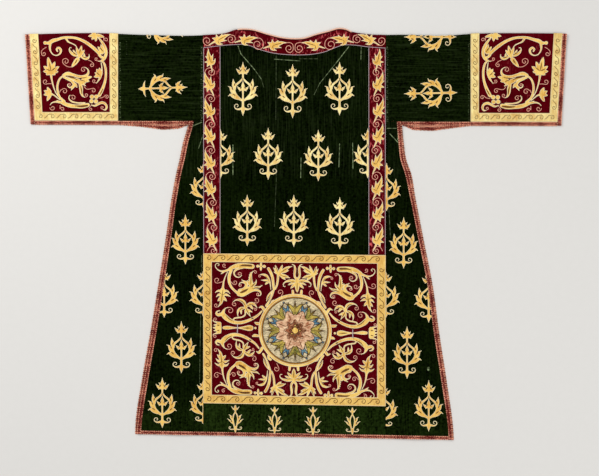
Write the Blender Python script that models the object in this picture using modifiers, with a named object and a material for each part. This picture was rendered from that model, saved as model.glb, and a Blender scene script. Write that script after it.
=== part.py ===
"""A dalmatic of green velvet, laid flat with its front up.

Two layers lie on each other.  The back layer is flat on the surface.  The
front layer lies on it, with a few soft folds.  Each sleeve and each cuff is
one cloth, folded over along its top.  The crimson bands, the apparel and the
yellow borders lie on the front panel and are made from its own points, moved
out.  A galloon braid edges the neck, the sleeves, the sides and the hem.

+X is the garment's width, +Y runs from the hem to the neck and +Z is up.
The origin is under the middle of the whole outline.
"""

import math

import bmesh
import bpy
import numpy as np

# Driving dimensions, metres
CLOTH = 0.0018            # velvet with its lining
BAND_CLOTH = 0.0010       # crimson band cloth
SATIN = 0.0008            # yellow border cloth
SEAM_GAP = 0.0003         # clearance between pieces that touch
HALF_GAP = SEAM_GAP / 2.0

HALF_SPAN = 0.7516        # middle to sleeve end, at the top fold
END_SLANT = 0.0150        # how far the sleeve end leans in at its lower edge
SLEEVE_LOW = 0.3025       # lower edge of the sleeves
CUFF_LEFT = -0.4933       # seam of cuff and sleeve
CUFF_RIGHT = 0.4842
SEAM_LEFT = -0.2575       # seams of the middle panel
SEAM_RIGHT = 0.2490
HEM = -0.5636             # lower edge, at the middle
TILT = 0.0172             # the hem lies this much askew, for each metre of width
TILT_START = 0.4500       # height from which the body lies askew
TILT_REACH = 0.9500       # length over which it grows
CHEST = 0.4200            # height below which the panel's rows are straight

BAND_WIDTH = 0.0475       # width of the upright bands
BORDER = 0.0240           # yellow border of the apparel and the cuffs
APPAREL_TOP = -0.0560
APPAREL_LOW = -0.4736
ROUNDEL_X = -0.0025
ROUNDEL_Y = -0.2675
ROUNDEL_RADIUS = 0.0930
RING_RADIUS = 0.1015

GALLOON = 0.0115          # braid width on the sides
GALLOON_SLEEVE = 0.0100   # braid width under the sleeves and at the hem
GALLOON_END = 0.0125      # braid width round the sleeve ends
GALLOON_NECK = 0.0060     # rolled braid along the neck
GALLOON_WALL = 0.0021
NECK_ROLL = 0.0030        # thickness of the neck's rolled braid
NECK_LEFT = -0.1640       # ends of the neck opening
NECK_RIGHT = 0.1560

FOLD_GAP = 0.0030         # clear space inside the fold along the sleeve top
FOLD_REACH = 0.0260       # how far down the fold's roundness reaches
MOST_LIFT = 0.0034        # the front never lies higher than this on the back

CELL = 0.0285             # size of a panel's cells
ARC_STEPS = 6             # steps round the top fold

# Outline of the top edge: place across, height
TOP_EDGE = (
    (-0.760, 0.5540), (-0.545, 0.5575), (-0.430, 0.5530), (-0.250, 0.5525),
    (-0.194, 0.5580), (-0.161, 0.5690), (-0.128, 0.5695), (-0.078, 0.5560),
    (-0.044, 0.5475), (-0.008, 0.5436), (0.022, 0.5450), (0.056, 0.5555),
    (0.089, 0.5640), (0.122, 0.5722), (0.139, 0.5695), (0.156, 0.5615),
    (0.189, 0.5556), (0.300, 0.5530), (0.420, 0.5505), (0.480, 0.5550),
    (0.640, 0.5575), (0.760, 0.5560),
)

# Lower edge of the neck band: place across, height
NECK_BAND_LOW = (
    (-0.2578, 0.5158), (-0.178, 0.5240), (-0.136, 0.5236), (-0.097, 0.5097),
    (-0.067, 0.5017), (-0.019, 0.4964), (0.011, 0.4958), (0.047, 0.4980),
    (0.082, 0.5053), (0.108, 0.5158), (0.126, 0.5222), (0.161, 0.5230),
    (0.197, 0.5186), (0.249, 0.5150),
)

# Side edges of the body: height, left edge, right edge, and how far the back
# layer shows past the front layer on the left and on the right
SIDE_EDGE = (
    (-0.580, -0.4470, 0.4390, 0.0040, 0.0030),
    (-0.540, -0.4460, 0.4370, 0.0055, 0.0030),
    (-0.406, -0.4270, 0.4190, 0.0060, 0.0035),
    (-0.272, -0.4035, 0.3980, 0.0055, 0.0035),
    (-0.139, -0.3815, 0.3795, 0.0045, 0.0030),
    (-0.006, -0.3605, 0.3530, 0.0035, 0.0030),
    (0.106, -0.3440, 0.3310, 0.0030, 0.0035),
    (0.172, -0.3315, 0.3190, 0.0030, 0.0060),
    (0.205, -0.3235, 0.3070, 0.0030, 0.0050),
    (0.256, -0.3130, 0.2990, 0.0030, 0.0030),
    (0.297, -0.3010, 0.2950, 0.0025, 0.0025),
    (0.330, -0.2950, 0.2930, 0.0025, 0.0025),
)

# How far the back sleeve shows below the front sleeve: place across, drop
BACK_DROP = (
    (CUFF_LEFT, 0.0012), (-0.430, 0.0060), (-0.370, 0.0140), (-0.325, 0.0110),
    (-0.299, 0.0000), (0.296, 0.0000),
    (0.325, 0.0130), (0.380, 0.0150), (0.430, 0.0080), (CUFF_RIGHT, 0.0012),
)

# Soft folds of the front layer: start, end, rise and half width
FOLDS = (
    (-0.161, 0.522, -0.085, 0.400, 0.0022, 0.022),
    (0.146, 0.519, 0.048, 0.385, 0.0024, 0.022),
    (-0.108, 0.480, 0.061, 0.482, 0.0014, 0.020),
    (-0.298, 0.312, -0.215, 0.365, 0.0030, 0.022),
    (-0.300, 0.290, -0.235, 0.230, 0.0022, 0.020),
    (0.292, 0.305, 0.205, 0.350, 0.0028, 0.022),
    (0.262, 0.278, 0.298, 0.236, 0.0030, 0.020),
    (-0.300, 0.220, -0.372, -0.500, 0.0020, 0.026),
    (0.298, 0.160, 0.372, -0.480, 0.0022, 0.026),
    (-0.120, 0.330, -0.136, -0.030, 0.0012, 0.045),
    (0.020, 0.380, 0.035, 0.020, 0.0010, 0.050),
    (0.150, 0.310, 0.160, -0.020, 0.0012, 0.045),
    (-0.240, 0.158, 0.235, 0.154, 0.0010, 0.030),
    (-0.150, -0.120, -0.160, -0.440, 0.0008, 0.060),
    (0.150, -0.140, 0.165, -0.430, 0.0009, 0.060),
    (-0.690, 0.450, -0.320, 0.430, 0.0018, 0.040),
    (-0.560, 0.350, -0.330, 0.345, 0.0014, 0.026),
    (0.320, 0.410, 0.700, 0.455, 0.0018, 0.040),
    (0.310, 0.345, 0.560, 0.352, 0.0015, 0.026),
    (-0.330, -0.560, -0.318, -0.400, 0.0022, 0.026),
    (-0.090, -0.560, -0.094, -0.490, 0.0014, 0.030),
    (0.105, -0.565, 0.110, -0.495, 0.0016, 0.030),
    (0.330, -0.570, 0.320, -0.430, 0.0022, 0.026),
)

# Finishes: colour, roughness
VELVET = ((0.010, 0.028, 0.009), 0.85)
WORN_VELVET = ((0.020, 0.045, 0.012), 0.85)
CRIMSON = ((0.150, 0.004, 0.012), 0.80)
YELLOW = ((0.800, 0.480, 0.110), 0.45)
RING_BROWN = ((0.300, 0.150, 0.050), 0.50)
PICTURE = ((0.420, 0.400, 0.330), 0.60)
BRAID = ((0.480, 0.130, 0.110), 0.65)


# Outline and height

def table_line(table, column=1):
    """A function that reads one column of a table, smooth between its rows."""
    rows = np.array(table)
    places = rows[:, 0]
    values = rows[:, column]
    slopes = np.gradient(values, places)

    def read(where):
        where = np.clip(np.asarray(where, float), places[0], places[-1])
        k = np.clip(np.searchsorted(places, where) - 1, 0, len(places) - 2)
        span = places[k + 1] - places[k]
        t = (where - places[k]) / span
        start = (1 + 2 * t) * (1 - t) ** 2 * values[k] + t * (1 - t) ** 2 * span * slopes[k]
        end = t * t * (3 - 2 * t) * values[k + 1] + t * t * (t - 1) * span * slopes[k + 1]
        return start + end

    return read


top_edge = table_line(TOP_EDGE)
band_low = table_line(NECK_BAND_LOW)
side_left = table_line(SIDE_EDGE, 1)
side_right = table_line(SIDE_EDGE, 2)
shows_left = table_line(SIDE_EDGE, 3)
shows_right = table_line(SIDE_EDGE, 4)


def back_drop(x):
    """Drop of the back sleeve at x, straight between the table's rows."""
    places, drops = np.array(BACK_DROP).T
    return np.interp(x, places, drops)


def side(hand, y, layer):
    """Edge of the body at height y, on hand -1 or 1, for the front or back layer."""
    edge = side_left(y) if hand < 0 else side_right(y)
    shows = shows_left(y) if hand < 0 else shows_right(y)
    return edge - hand * shows if layer == "front" else edge


def sleeve_low(x, layer):
    """Lower edge of the sleeve at x."""
    drop = back_drop(x) if layer == "back" else np.zeros_like(x)
    return SLEEVE_LOW - drop


def sleeve_end(hand, y):
    """Outer edge of the sleeve end at height y."""
    top = top_edge(hand * HALF_SPAN)
    share = np.clip((top - y) / (top - SLEEVE_LOW), 0.0, 1.05)
    return hand * (HALF_SPAN - END_SLANT * share)


def lift(x, y):
    """Rise of the front layer: soft ridges along the folds' lines, capped."""
    total = np.zeros(np.broadcast(x, y).shape)
    for x0, y0, x1, y1, rise, half_width in FOLDS:
        dx, dy = x1 - x0, y1 - y0
        length = math.hypot(dx, dy)
        along = ((x - x0) * dx + (y - y0) * dy) / length
        across = ((x - x0) * dy - (y - y0) * dx) / length
        past = np.maximum(0.0, np.maximum(-along, along - length)) + 0.0 * across
        total = total + rise * np.exp(-(across ** 2 + past ** 2) / (2 * half_width ** 2))
    return MOST_LIFT * np.tanh(total / MOST_LIFT)


def front_base(x, y):
    """Under surface of the front layer."""
    return CLOTH + SEAM_GAP + lift(x, y)


def askew(x, y):
    """The garment lies a little askew, more towards the hem."""
    return y - TILT * x * np.clip((TILT_START - y) / TILT_REACH, 0.0, 1.1)


def steps_between(start, end, cell=CELL):
    """Even places from start to end, about one cell apart."""
    count = max(1, round(abs(end - start) / cell))
    return np.linspace(start, end, count + 1)


# Making the pieces

def finish_material(name, finish):
    """A plain Principled material."""
    colour, roughness = finish
    material = bpy.data.materials.new(name)
    material.use_nodes = True
    shader = material.node_tree.nodes["Principled BSDF"]
    shader.inputs["Base Color"].default_value = (*colour, 1.0)
    shader.inputs["Roughness"].default_value = roughness
    shader.inputs["Metallic"].default_value = 0.0
    return material


def cloth(name, finish, net, wall, centred=False, open_cell=None, closed=False):
    """A grid carried onto the net's points, with its wall made by Solidify.

    net holds the arrays x, y and z; their first index runs across and the
    second along.  open_cell(i, j) is true for cells that are left out.
    """
    x, y, z = net
    across, along = x.shape
    bm = bmesh.new()
    bmesh.ops.create_grid(bm, x_segments=across - 1, y_segments=along - 1, size=1.0)
    if open_cell:
        gone = []
        for face in bm.faces:
            middle = face.calc_center_median()
            i = int((middle.x + 1) / 2 * (across - 1))
            j = int((middle.y + 1) / 2 * (along - 1))
            if open_cell(i, j):
                gone.append(face)
        bmesh.ops.delete(bm, geom=gone, context="FACES")
    for vert in bm.verts:
        i = round((vert.co.x + 1) / 2 * (across - 1))
        j = round((vert.co.y + 1) / 2 * (along - 1))
        vert.co = (x[i, j], y[i, j], z[i, j])
    if closed:
        bmesh.ops.remove_doubles(bm, verts=bm.verts, dist=0.00005)
    mesh = bpy.data.meshes.new(name)
    bm.to_mesh(mesh)
    bm.free()
    mesh.shade_smooth()
    mesh.materials.append(finish_material(name, finish))
    piece = bpy.data.objects.new(name, mesh)
    garment.objects.link(piece)
    shell = piece.modifiers.new("Wall", "SOLIDIFY")
    shell.thickness = wall
    shell.offset = 0.0 if centred else 1.0
    shell.use_even_offset = True
    return piece


def laid(x, y, z):
    """A net at its lying place."""
    return x, askew(x, y), z


def raised(net, height):
    """The same net, moved out by height."""
    x, y, z = net
    return x, y, z + height


# Middle panel and what lies on it

def panel_columns():
    """Places across the middle panel, with lines at the band and border edges."""
    inner = steps_between(SEAM_LEFT + BAND_WIDTH, SEAM_RIGHT - BAND_WIDTH, 0.75 * CELL)
    return np.concatenate([
        [SEAM_LEFT + HALF_GAP, SEAM_LEFT + BORDER], inner,
        [SEAM_RIGHT - BORDER, SEAM_RIGHT - HALF_GAP],
    ])


def neck_cut(x):
    """Depth that the neck's braid takes from the panel's top edge."""
    return np.where((x > NECK_LEFT) & (x < NECK_RIGHT), GALLOON_NECK + SEAM_GAP, 0.0)


def panel_net():
    """Points of the middle panel from its top edge down to the apparel's foot."""
    x = panel_columns()
    top = top_edge(x) - neck_cut(x)
    low = band_low(x)
    rows = [top, (top + low) / 2, low]
    rows += [low + (CHEST - low) * t for t in (1 / 3, 2 / 3, 1)]
    straight = np.concatenate([
        steps_between(CHEST, APPAREL_TOP)[1:],
        steps_between(APPAREL_TOP - BORDER, APPAREL_LOW + BORDER),
        [APPAREL_LOW],
    ])
    rows += [np.full_like(x, height) for height in straight]
    y = np.stack(rows[::-1], axis=1)
    x = np.repeat(x[:, None], y.shape[1], axis=1)
    return laid(x, y, front_base(x, y))


def block(net, columns, rows, trim=(0, 0, 0, 0)):
    """Part of a net, each side trimmed by left, right, low and high."""
    x, y, z = (values[columns, rows].copy() for values in net)
    left, right, low, high = trim
    x[0, :] += left
    x[-1, :] -= right
    y[:, 0] += low
    y[:, -1] -= high
    return x, y, z


def front_middle():
    """Middle panel, its bands, the apparel, its border, the roundel and the ring."""
    net = panel_net()
    across, along = net[0].shape
    cloth("front_panel", VELVET, net, CLOTH)

    bands = raised(net, CLOTH + SEAM_GAP)
    whole = slice(0, across)
    cloth("neck_band", CRIMSON, block(bands, whole, slice(along - 3, along)), BAND_CLOTH)
    field_rows = len(steps_between(APPAREL_TOP - BORDER, APPAREL_LOW + BORDER)) + 2
    upright = slice(field_rows - 1, along - 2)
    ends = (0, 0, HALF_GAP, SEAM_GAP)
    cloth("clavus_left", CRIMSON, block(bands, slice(0, 3), upright, ends), BAND_CLOTH)
    cloth("clavus_right", CRIMSON, block(bands, slice(across - 3, across), upright, ends),
          BAND_CLOTH)

    rows = slice(0, field_rows)
    field = block(bands, whole, rows, (0, 0, 0, HALF_GAP))
    cloth("apparel_field", CRIMSON, field, BAND_CLOTH)
    on_field = raised(field, BAND_CLOTH + SEAM_GAP)

    def inside(i, j):
        return 0 < i < across - 2 and 0 < j < field_rows - 2

    cloth("apparel_border", YELLOW, on_field, SATIN, open_cell=inside)

    base = CLOTH + BAND_CLOTH + 2.3 * SEAM_GAP
    cloth("roundel", PICTURE, disc(ROUNDEL_RADIUS - SEAM_GAP, base), BAND_CLOTH)
    cloth("roundel_ring", RING_BROWN, ring(ROUNDEL_RADIUS, RING_RADIUS, base),
          1.6 * BAND_CLOTH, closed=True)


def disc(radius, height, cells=12):
    """A square grid drawn into a circle round the roundel's centre."""
    u, v = np.meshgrid(np.linspace(-1, 1, cells + 1), np.linspace(-1, 1, cells + 1), indexing="ij")
    x = ROUNDEL_X + radius * u * np.sqrt(1 - v * v / 2)
    y = ROUNDEL_Y + radius * v * np.sqrt(1 - u * u / 2)
    return laid(x, y, front_base(x, y) + height)


def ring(inner, outer, height, steps=48):
    """A flat ring round the roundel's centre."""
    turn, radius = np.meshgrid(np.linspace(0, 2 * math.pi, steps + 1), [outer, inner],
                               indexing="ij")
    x = ROUNDEL_X + radius * np.cos(turn)
    y = ROUNDEL_Y + radius * np.sin(turn)
    return laid(x, y, front_base(x, y) + height)


def hem_panel():
    """The strip between the apparel and the hem's braid."""
    x = panel_columns()
    heights = steps_between(HEM + GALLOON_SLEEVE + SEAM_GAP, APPAREL_LOW - SEAM_GAP)
    x, y = np.meshgrid(x, heights, indexing="ij")
    cloth("hem_panel", WORN_VELVET, laid(x, y, front_base(x, y)), CLOTH)


def back_panel():
    """The back's middle panel, whole from the shoulders to the hem."""
    x = panel_columns()
    top = top_edge(x) - neck_cut(x)
    low = HEM + GALLOON_SLEEVE + SEAM_GAP
    heights = steps_between(low, band_low(0.0), 4 * CELL)
    y = np.stack([np.full_like(x, height) for height in heights] + [top], axis=1)
    x = np.repeat(x[:, None], y.shape[1], axis=1)
    cloth("back_panel", VELVET, laid(x, y, np.zeros_like(x)), CLOTH)


# Gores, sleeves and cuffs

def side_rows(layer):
    """Heights from the hem to the underarm, shared by a gore and its braid."""
    cell = CELL if layer == "front" else 2 * CELL
    straight = steps_between(HEM + GALLOON_SLEEVE, SLEEVE_LOW, cell)
    return np.concatenate([[HEM], straight, [SLEEVE_LOW + GALLOON_SLEEVE]])


def gore(hand, layer):
    """Side gore, from the middle panel's seam to the side braid."""
    name = f"{layer}_gore_{'left' if hand < 0 else 'right'}"
    seam = (SEAM_LEFT if hand < 0 else SEAM_RIGHT) + hand * HALF_GAP
    y = side_rows(layer)[1:]
    y[0] += SEAM_GAP
    y[-1] -= SEAM_GAP
    share = np.linspace(0.0, 1.0, 5)[:, None]
    edge = side(hand, y, layer) - hand * (GALLOON + SEAM_GAP)
    x = seam + (edge - seam) * share
    if hand < 0:
        x = x[::-1]
    y = np.repeat(y[None, :], x.shape[0], axis=0)
    z = front_base(x, y) if layer == "front" else np.zeros_like(x)
    cloth(name, VELVET, laid(x, y, z), CLOTH)


def folded_net(x, front_low, back_low, out=0.0, last_turn=math.pi):
    """A cloth folded over the sleeve's top, moved out from its middle surface.

    For each x the section climbs the front from front_low, turns round the
    fold and goes down the back to back_low.  With last_turn under pi the
    section stops on the fold.  x and both ends have one value per column.
    """
    half = CLOTH / 2
    whole_gap = CLOTH + SEAM_GAP
    shoulder = np.clip((np.abs(x) - abs(SEAM_RIGHT)) / 0.10, 0.0, 1.0)
    room = (FOLD_GAP - SEAM_GAP) * shoulder
    radius = (whole_gap + room) / 2
    centre = top_edge(x) - radius - half

    climb = np.linspace(0.0, 1.0, 9)
    y_front = front_low + (centre - front_low) * climb[:, None]
    near = np.exp(-((centre - y_front) / FOLD_REACH) ** 2)
    still = np.clip((centre - y_front) / FOLD_REACH, 0.0, 1.0)
    z_front = half + whole_gap + room * near + lift(x, y_front) * still + out

    turns = np.linspace(0.0, last_turn, ARC_STEPS + 1)[1:, None]
    y_fold = centre + (radius + out) * np.sin(turns)
    z_fold = half + radius + (radius + out) * np.cos(turns)
    y, z = [y_front, y_fold], [z_front, z_fold]
    if last_turn >= math.pi:
        fall = np.linspace(0.0, 1.0, 4)[1:, None]
        y_back = centre + (back_low - centre) * fall
        y.append(y_back)
        z.append(np.full_like(y_back, half - out))
    y = np.concatenate(y).T
    z = np.concatenate(z).T
    return laid(np.repeat(x[:, None], y.shape[1], axis=1), y, z)


def free_columns(hand):
    """Places along the sleeve from the body's edge out to the cuff's seam."""
    body_edge = side(hand, SLEEVE_LOW + GALLOON_SLEEVE, "back") + hand * SEAM_GAP
    return steps_between(body_edge, CUFF_LEFT if hand < 0 else CUFF_RIGHT)


def sleeve(hand):
    """Green velvet sleeve, folded over its top."""
    seam = SEAM_LEFT if hand < 0 else SEAM_RIGHT
    free = free_columns(hand)
    x = np.concatenate([steps_between(seam + hand * HALF_GAP, free[0])[:-1], free])
    x[-1] -= hand * HALF_GAP
    x = np.sort(x)
    front_low = sleeve_low(x, "front") + GALLOON_SLEEVE + SEAM_GAP
    back_low = sleeve_low(x, "back") + GALLOON_SLEEVE + SEAM_GAP
    name = f"sleeve_{'left' if hand < 0 else 'right'}"
    cloth(name, VELVET, folded_net(x, front_low, back_low), CLOTH, centred=True)


def cuff_columns(hand):
    """Places across a cuff, with lines at its borders, from left to right."""
    cuff = (CUFF_LEFT if hand < 0 else CUFF_RIGHT) + hand * HALF_GAP
    end = hand * (HALF_SPAN - GALLOON_END - SEAM_GAP)
    x = np.concatenate([
        [end], steps_between(end - hand * BORDER, cuff + hand * BORDER), [cuff],
    ])
    return x if hand < 0 else x[::-1]


def lean_in(hand, net):
    """The cuff's outer end leans in towards its lower edge."""
    x, y, z = net
    cuff = CUFF_LEFT if hand < 0 else CUFF_RIGHT
    share = np.clip((x - cuff) / (hand * HALF_SPAN - cuff), 0.0, 1.0)
    moved = x + share * (sleeve_end(hand, y) - hand * HALF_SPAN)
    return moved, y, z


def cuff(hand):
    """Crimson cuff apparel with its yellow border, folded over with the sleeve."""
    side_name = "left" if hand < 0 else "right"
    x = cuff_columns(hand)
    low = np.full_like(x, SLEEVE_LOW + GALLOON_SLEEVE + SEAM_GAP)
    back_low = sleeve_low(x, "back") + GALLOON_SLEEVE + SEAM_GAP
    cloth(f"cuff_{side_name}", CRIMSON, lean_in(hand, folded_net(x, low, back_low)), CLOTH,
          centred=True)

    out = CLOTH / 2 + SEAM_GAP
    border = folded_net(x, low, low, out, last_turn=0.45 * math.pi)
    across = len(x)

    def inside(i, j):
        return 0 < i < across - 2 and j > 0

    cloth(f"cuff_border_{side_name}", YELLOW, lean_in(hand, border), SATIN, open_cell=inside)


# Galloon

def sleeve_galloon(hand, layer):
    """Braid along the sleeve's lower edge."""
    outer = hand * (HALF_SPAN - END_SLANT - GALLOON_END - SEAM_GAP)
    free = free_columns(hand)
    x_high = np.concatenate([free, steps_between(free[-1], outer)[1:]])
    x_high[0] = side(hand, SLEEVE_LOW + GALLOON_SLEEVE, layer) + hand * SEAM_GAP
    x_low = x_high.copy()
    x_low[0] = side(hand, SLEEVE_LOW, layer) + hand * SEAM_GAP
    x_high, x_low = np.sort(x_high), np.sort(x_low)
    low = sleeve_low(x_low, layer)
    x = np.stack([x_low, x_high], axis=1)
    y = np.stack([low, sleeve_low(x_high, layer) + GALLOON_SLEEVE], axis=1)
    z = front_base(x, y) if layer == "front" else np.zeros_like(x)
    name = f"{layer}_sleeve_galloon_{'left' if hand < 0 else 'right'}"
    cloth(name, BRAID, laid(x, y, z), GALLOON_WALL if layer == "front" else CLOTH)


def side_galloon(hand, layer):
    """Braid down the side, from the underarm to the hem."""
    y = side_rows(layer)
    edge = side(hand, y, layer)
    x = np.stack([edge, edge - hand * GALLOON])
    if hand > 0:
        x = x[::-1]
    y = np.repeat(y[None, :], 2, axis=0)
    z = front_base(x, y) if layer == "front" else np.zeros_like(x)
    name = f"{layer}_side_galloon_{'left' if hand < 0 else 'right'}"
    cloth(name, BRAID, laid(x, y, z), GALLOON_WALL if layer == "front" else CLOTH)


def hem_galloon(layer):
    """Braid along the hem, between the side braids."""
    ends = [side(hand, HEM, layer) - hand * (GALLOON + SEAM_GAP) for hand in (-1, 1)]
    ends_high = [side(hand, HEM + GALLOON_SLEEVE, layer) - hand * (GALLOON + SEAM_GAP)
                 for hand in (-1, 1)]
    cell = CELL if layer == "front" else 4 * CELL
    x_low = steps_between(*ends, cell)
    x_high = np.linspace(*ends_high, len(x_low))
    x = np.stack([x_low, x_high], axis=1)
    y = np.broadcast_to([HEM, HEM + GALLOON_SLEEVE], x.shape)
    z = front_base(x, y) if layer == "front" else np.zeros_like(x)
    cloth(f"{layer}_hem_galloon", BRAID, laid(x, y, z),
          GALLOON_WALL if layer == "front" else CLOTH)


def end_galloon(hand):
    """Braid round the sleeve's end, folded over with the cuff."""
    outer = hand * HALF_SPAN
    inner = hand * (HALF_SPAN - GALLOON_END)
    x = np.array(sorted((outer, inner)))
    low = sleeve_low(x, "front")
    back_low = sleeve_low(x, "back")
    name = f"end_galloon_{'left' if hand < 0 else 'right'}"
    cloth(name, BRAID, lean_in(hand, folded_net(x, low, back_low)), CLOTH, centred=True)


def neck_galloon(layer):
    """Rolled braid along the neck's edge."""
    x_line = panel_columns()
    x_line = x_line[neck_cut(x_line) > 0.0]
    low = top_edge(x_line) - neck_cut(x_line) + SEAM_GAP
    y = np.stack([low, top_edge(x_line)], axis=1)
    x = np.repeat(x_line[:, None], 2, axis=1)
    front = layer == "front"
    z = front_base(x, y) if front else np.zeros_like(x)
    cloth(f"{layer}_neck_galloon", BRAID, laid(x, y, z), NECK_ROLL if front else CLOTH)


def clear_scene():
    """Remove every object of the starting scene."""
    for thing in list(bpy.data.objects):
        bpy.data.objects.remove(thing, do_unlink=True)


clear_scene()
garment = bpy.data.collections.new("Dalmatic")
bpy.context.scene.collection.children.link(garment)

front_middle()
hem_panel()
back_panel()
for hand_side in (-1, 1):
    sleeve(hand_side)
    cuff(hand_side)
    end_galloon(hand_side)
    for cloth_layer in ("front", "back"):
        gore(hand_side, cloth_layer)
        sleeve_galloon(hand_side, cloth_layer)
        side_galloon(hand_side, cloth_layer)
for cloth_layer in ("front", "back"):
    hem_galloon(cloth_layer)
    neck_galloon(cloth_layer)
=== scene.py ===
"""Dalmatic of green velvet with crimson and yellow orphreys, laid flat.

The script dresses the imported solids.  Every velvet panel, band, border and
braid becomes a thin closed shell on its solid's form.  The yellow satin
ornaments are cut from joined outlines, laid on the cloth and edged with a
couched cord; the tendrils are cords alone.
"""

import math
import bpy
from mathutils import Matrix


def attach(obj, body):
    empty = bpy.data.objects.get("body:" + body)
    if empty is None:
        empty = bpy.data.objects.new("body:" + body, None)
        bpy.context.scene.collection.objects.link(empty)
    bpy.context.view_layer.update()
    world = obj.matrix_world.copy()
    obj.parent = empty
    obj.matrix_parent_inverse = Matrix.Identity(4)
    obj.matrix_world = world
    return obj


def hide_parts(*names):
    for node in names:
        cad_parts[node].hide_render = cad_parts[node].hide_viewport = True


bl_info = {
    "name": "Dalmatic",
    "version": (1, 0, 0),
    "blender": (4, 5, 0),
    "location": "View3D > Sidebar > Dalmatic",
    "description": "Dresses a dalmatic in velvet, satin, couched cord and galloon",
    "category": "Add Mesh",
}

import bpy
import numpy as np
from bpy.props import FloatProperty, FloatVectorProperty, PointerProperty
from mathutils import Vector
from mathutils.geometry import delaunay_2d_cdt

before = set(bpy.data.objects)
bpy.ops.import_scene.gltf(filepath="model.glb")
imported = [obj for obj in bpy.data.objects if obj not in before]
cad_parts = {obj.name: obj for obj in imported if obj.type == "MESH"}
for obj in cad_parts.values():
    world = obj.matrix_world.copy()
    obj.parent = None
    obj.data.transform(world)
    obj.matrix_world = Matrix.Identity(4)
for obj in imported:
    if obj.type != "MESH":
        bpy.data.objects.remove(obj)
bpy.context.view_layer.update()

# The garment's sizes, metres, as its solids have them
CLOTH = 0.0018
BAND_CLOTH = 0.0010
SATIN = 0.0008
SEAM_GAP = 0.0003
HALF_SPAN = 0.7516
END_SLANT = 0.0150
SLEEVE_LOW = 0.3025
CUFF = {-1: -0.4933, 1: 0.4842}     # seam of each cuff
SEAM = {-1: -0.2575, 1: 0.2490}     # seams of the middle panel
HANDS = ((-1, "left"), (1, "right"))
HEM = -0.5636
TILT, TILT_START, TILT_REACH = 0.0172, 0.4500, 0.9500
BAND_WIDTH = 0.0475
BORDER = 0.0240
APPAREL_TOP, APPAREL_LOW = -0.0560, -0.4736
ROUNDEL_X, ROUNDEL_Y = -0.0025, -0.2675
ROUNDEL_RADIUS, RING_RADIUS = 0.0930, 0.1015
GALLOON, GALLOON_SLEEVE, GALLOON_END, GALLOON_NECK = 0.0115, 0.0100, 0.0125, 0.0060
NECK_LEFT, NECK_RIGHT = -0.1640, 0.1560
GALLOON_WALL, NECK_ROLL = 0.0021, 0.0030
HALF_GAP = SEAM_GAP / 2
LEFT, RIGHT = SEAM[-1] + HALF_GAP, SEAM[1] - HALF_GAP          # of the middle panel
HEM_FOOT = HEM + GALLOON_SLEEVE + SEAM_GAP                     # where the velvet ends
SLEEVE_BRAID = SLEEVE_LOW + GALLOON_SLEEVE
SLEEVE_FOOT = SLEEVE_BRAID + SEAM_GAP
CUFF_END = HALF_SPAN - GALLOON_END - SEAM_GAP
BODY_SEAM = {hand: SEAM[hand] + hand * HALF_GAP for hand in SEAM}      # outside the seam
CUFF_START = {hand: CUFF[hand] + hand * HALF_GAP for hand in CUFF}

# How the cloth folds and lifts, and how it is netted
FOLD_GAP, FOLD_REACH, SHOULDER = 0.0030, 0.0260, 0.10
MOST_LIFT = 0.0034
EDGE_PRESS = 0.18                  # share of its wall by which a cloth's edge is pressed down
FOLD_ROWS, BACK_ROWS = 9, 13
BRAID_STEP = 0.0028

# Drawings, their cords, and how far the satin and its hollows stand up
DRAWN = 1 / 360                    # unit of most drawings, metres
CORD, CORD_SIDES = 0.0018, 5       # cord round the satin ornaments
LINE_STEP, TENDRIL_STEP = 0.0027, 0.0020
CROWN, HOLLOW_RISE, SUNK = 0.0004, 0.0007, 0.0001

# Outline of the top edge: place across, height
TOP_EDGE = (
    (-0.760, 0.5540), (-0.545, 0.5575), (-0.430, 0.5530), (-0.250, 0.5525),
    (-0.194, 0.5580), (-0.161, 0.5690), (-0.128, 0.5695), (-0.078, 0.5560),
    (-0.044, 0.5475), (-0.008, 0.5436), (0.022, 0.5450), (0.056, 0.5555),
    (0.089, 0.5640), (0.122, 0.5722), (0.139, 0.5695), (0.156, 0.5615),
    (0.189, 0.5556), (0.300, 0.5530), (0.420, 0.5505), (0.480, 0.5550),
    (0.640, 0.5575), (0.760, 0.5560),
)

# Lower edge of the neck band: place across, height
NECK_BAND_LOW = (
    (-0.2578, 0.5158), (-0.178, 0.5240), (-0.136, 0.5236), (-0.097, 0.5097),
    (-0.067, 0.5017), (-0.019, 0.4964), (0.011, 0.4958), (0.047, 0.4980),
    (0.082, 0.5053), (0.108, 0.5158), (0.126, 0.5222), (0.161, 0.5230),
    (0.197, 0.5186), (0.249, 0.5150),
)

# Side edges of the body: height, left edge, right edge, and how far the back
# layer shows past the front layer on the left and on the right
SIDE_EDGE = (
    (-0.580, -0.4470, 0.4390, 0.0040, 0.0030),
    (-0.540, -0.4460, 0.4370, 0.0055, 0.0030),
    (-0.406, -0.4270, 0.4190, 0.0060, 0.0035),
    (-0.272, -0.4035, 0.3980, 0.0055, 0.0035),
    (-0.139, -0.3815, 0.3795, 0.0045, 0.0030),
    (-0.006, -0.3605, 0.3530, 0.0035, 0.0030),
    (0.106, -0.3440, 0.3310, 0.0030, 0.0035),
    (0.172, -0.3315, 0.3190, 0.0030, 0.0060),
    (0.205, -0.3235, 0.3070, 0.0030, 0.0050),
    (0.256, -0.3130, 0.2990, 0.0030, 0.0030),
    (0.297, -0.3010, 0.2950, 0.0025, 0.0025),
    (0.330, -0.2950, 0.2930, 0.0025, 0.0025),
)

# How far the back sleeve shows below the front sleeve: place across, drop
BACK_DROP = (
    (CUFF[-1], 0.0012), (-0.430, 0.0060), (-0.370, 0.0140), (-0.325, 0.0110),
    (-0.299, 0.0000), (0.296, 0.0000),
    (0.325, 0.0130), (0.380, 0.0150), (0.430, 0.0080), (CUFF[1], 0.0012),
)

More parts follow.
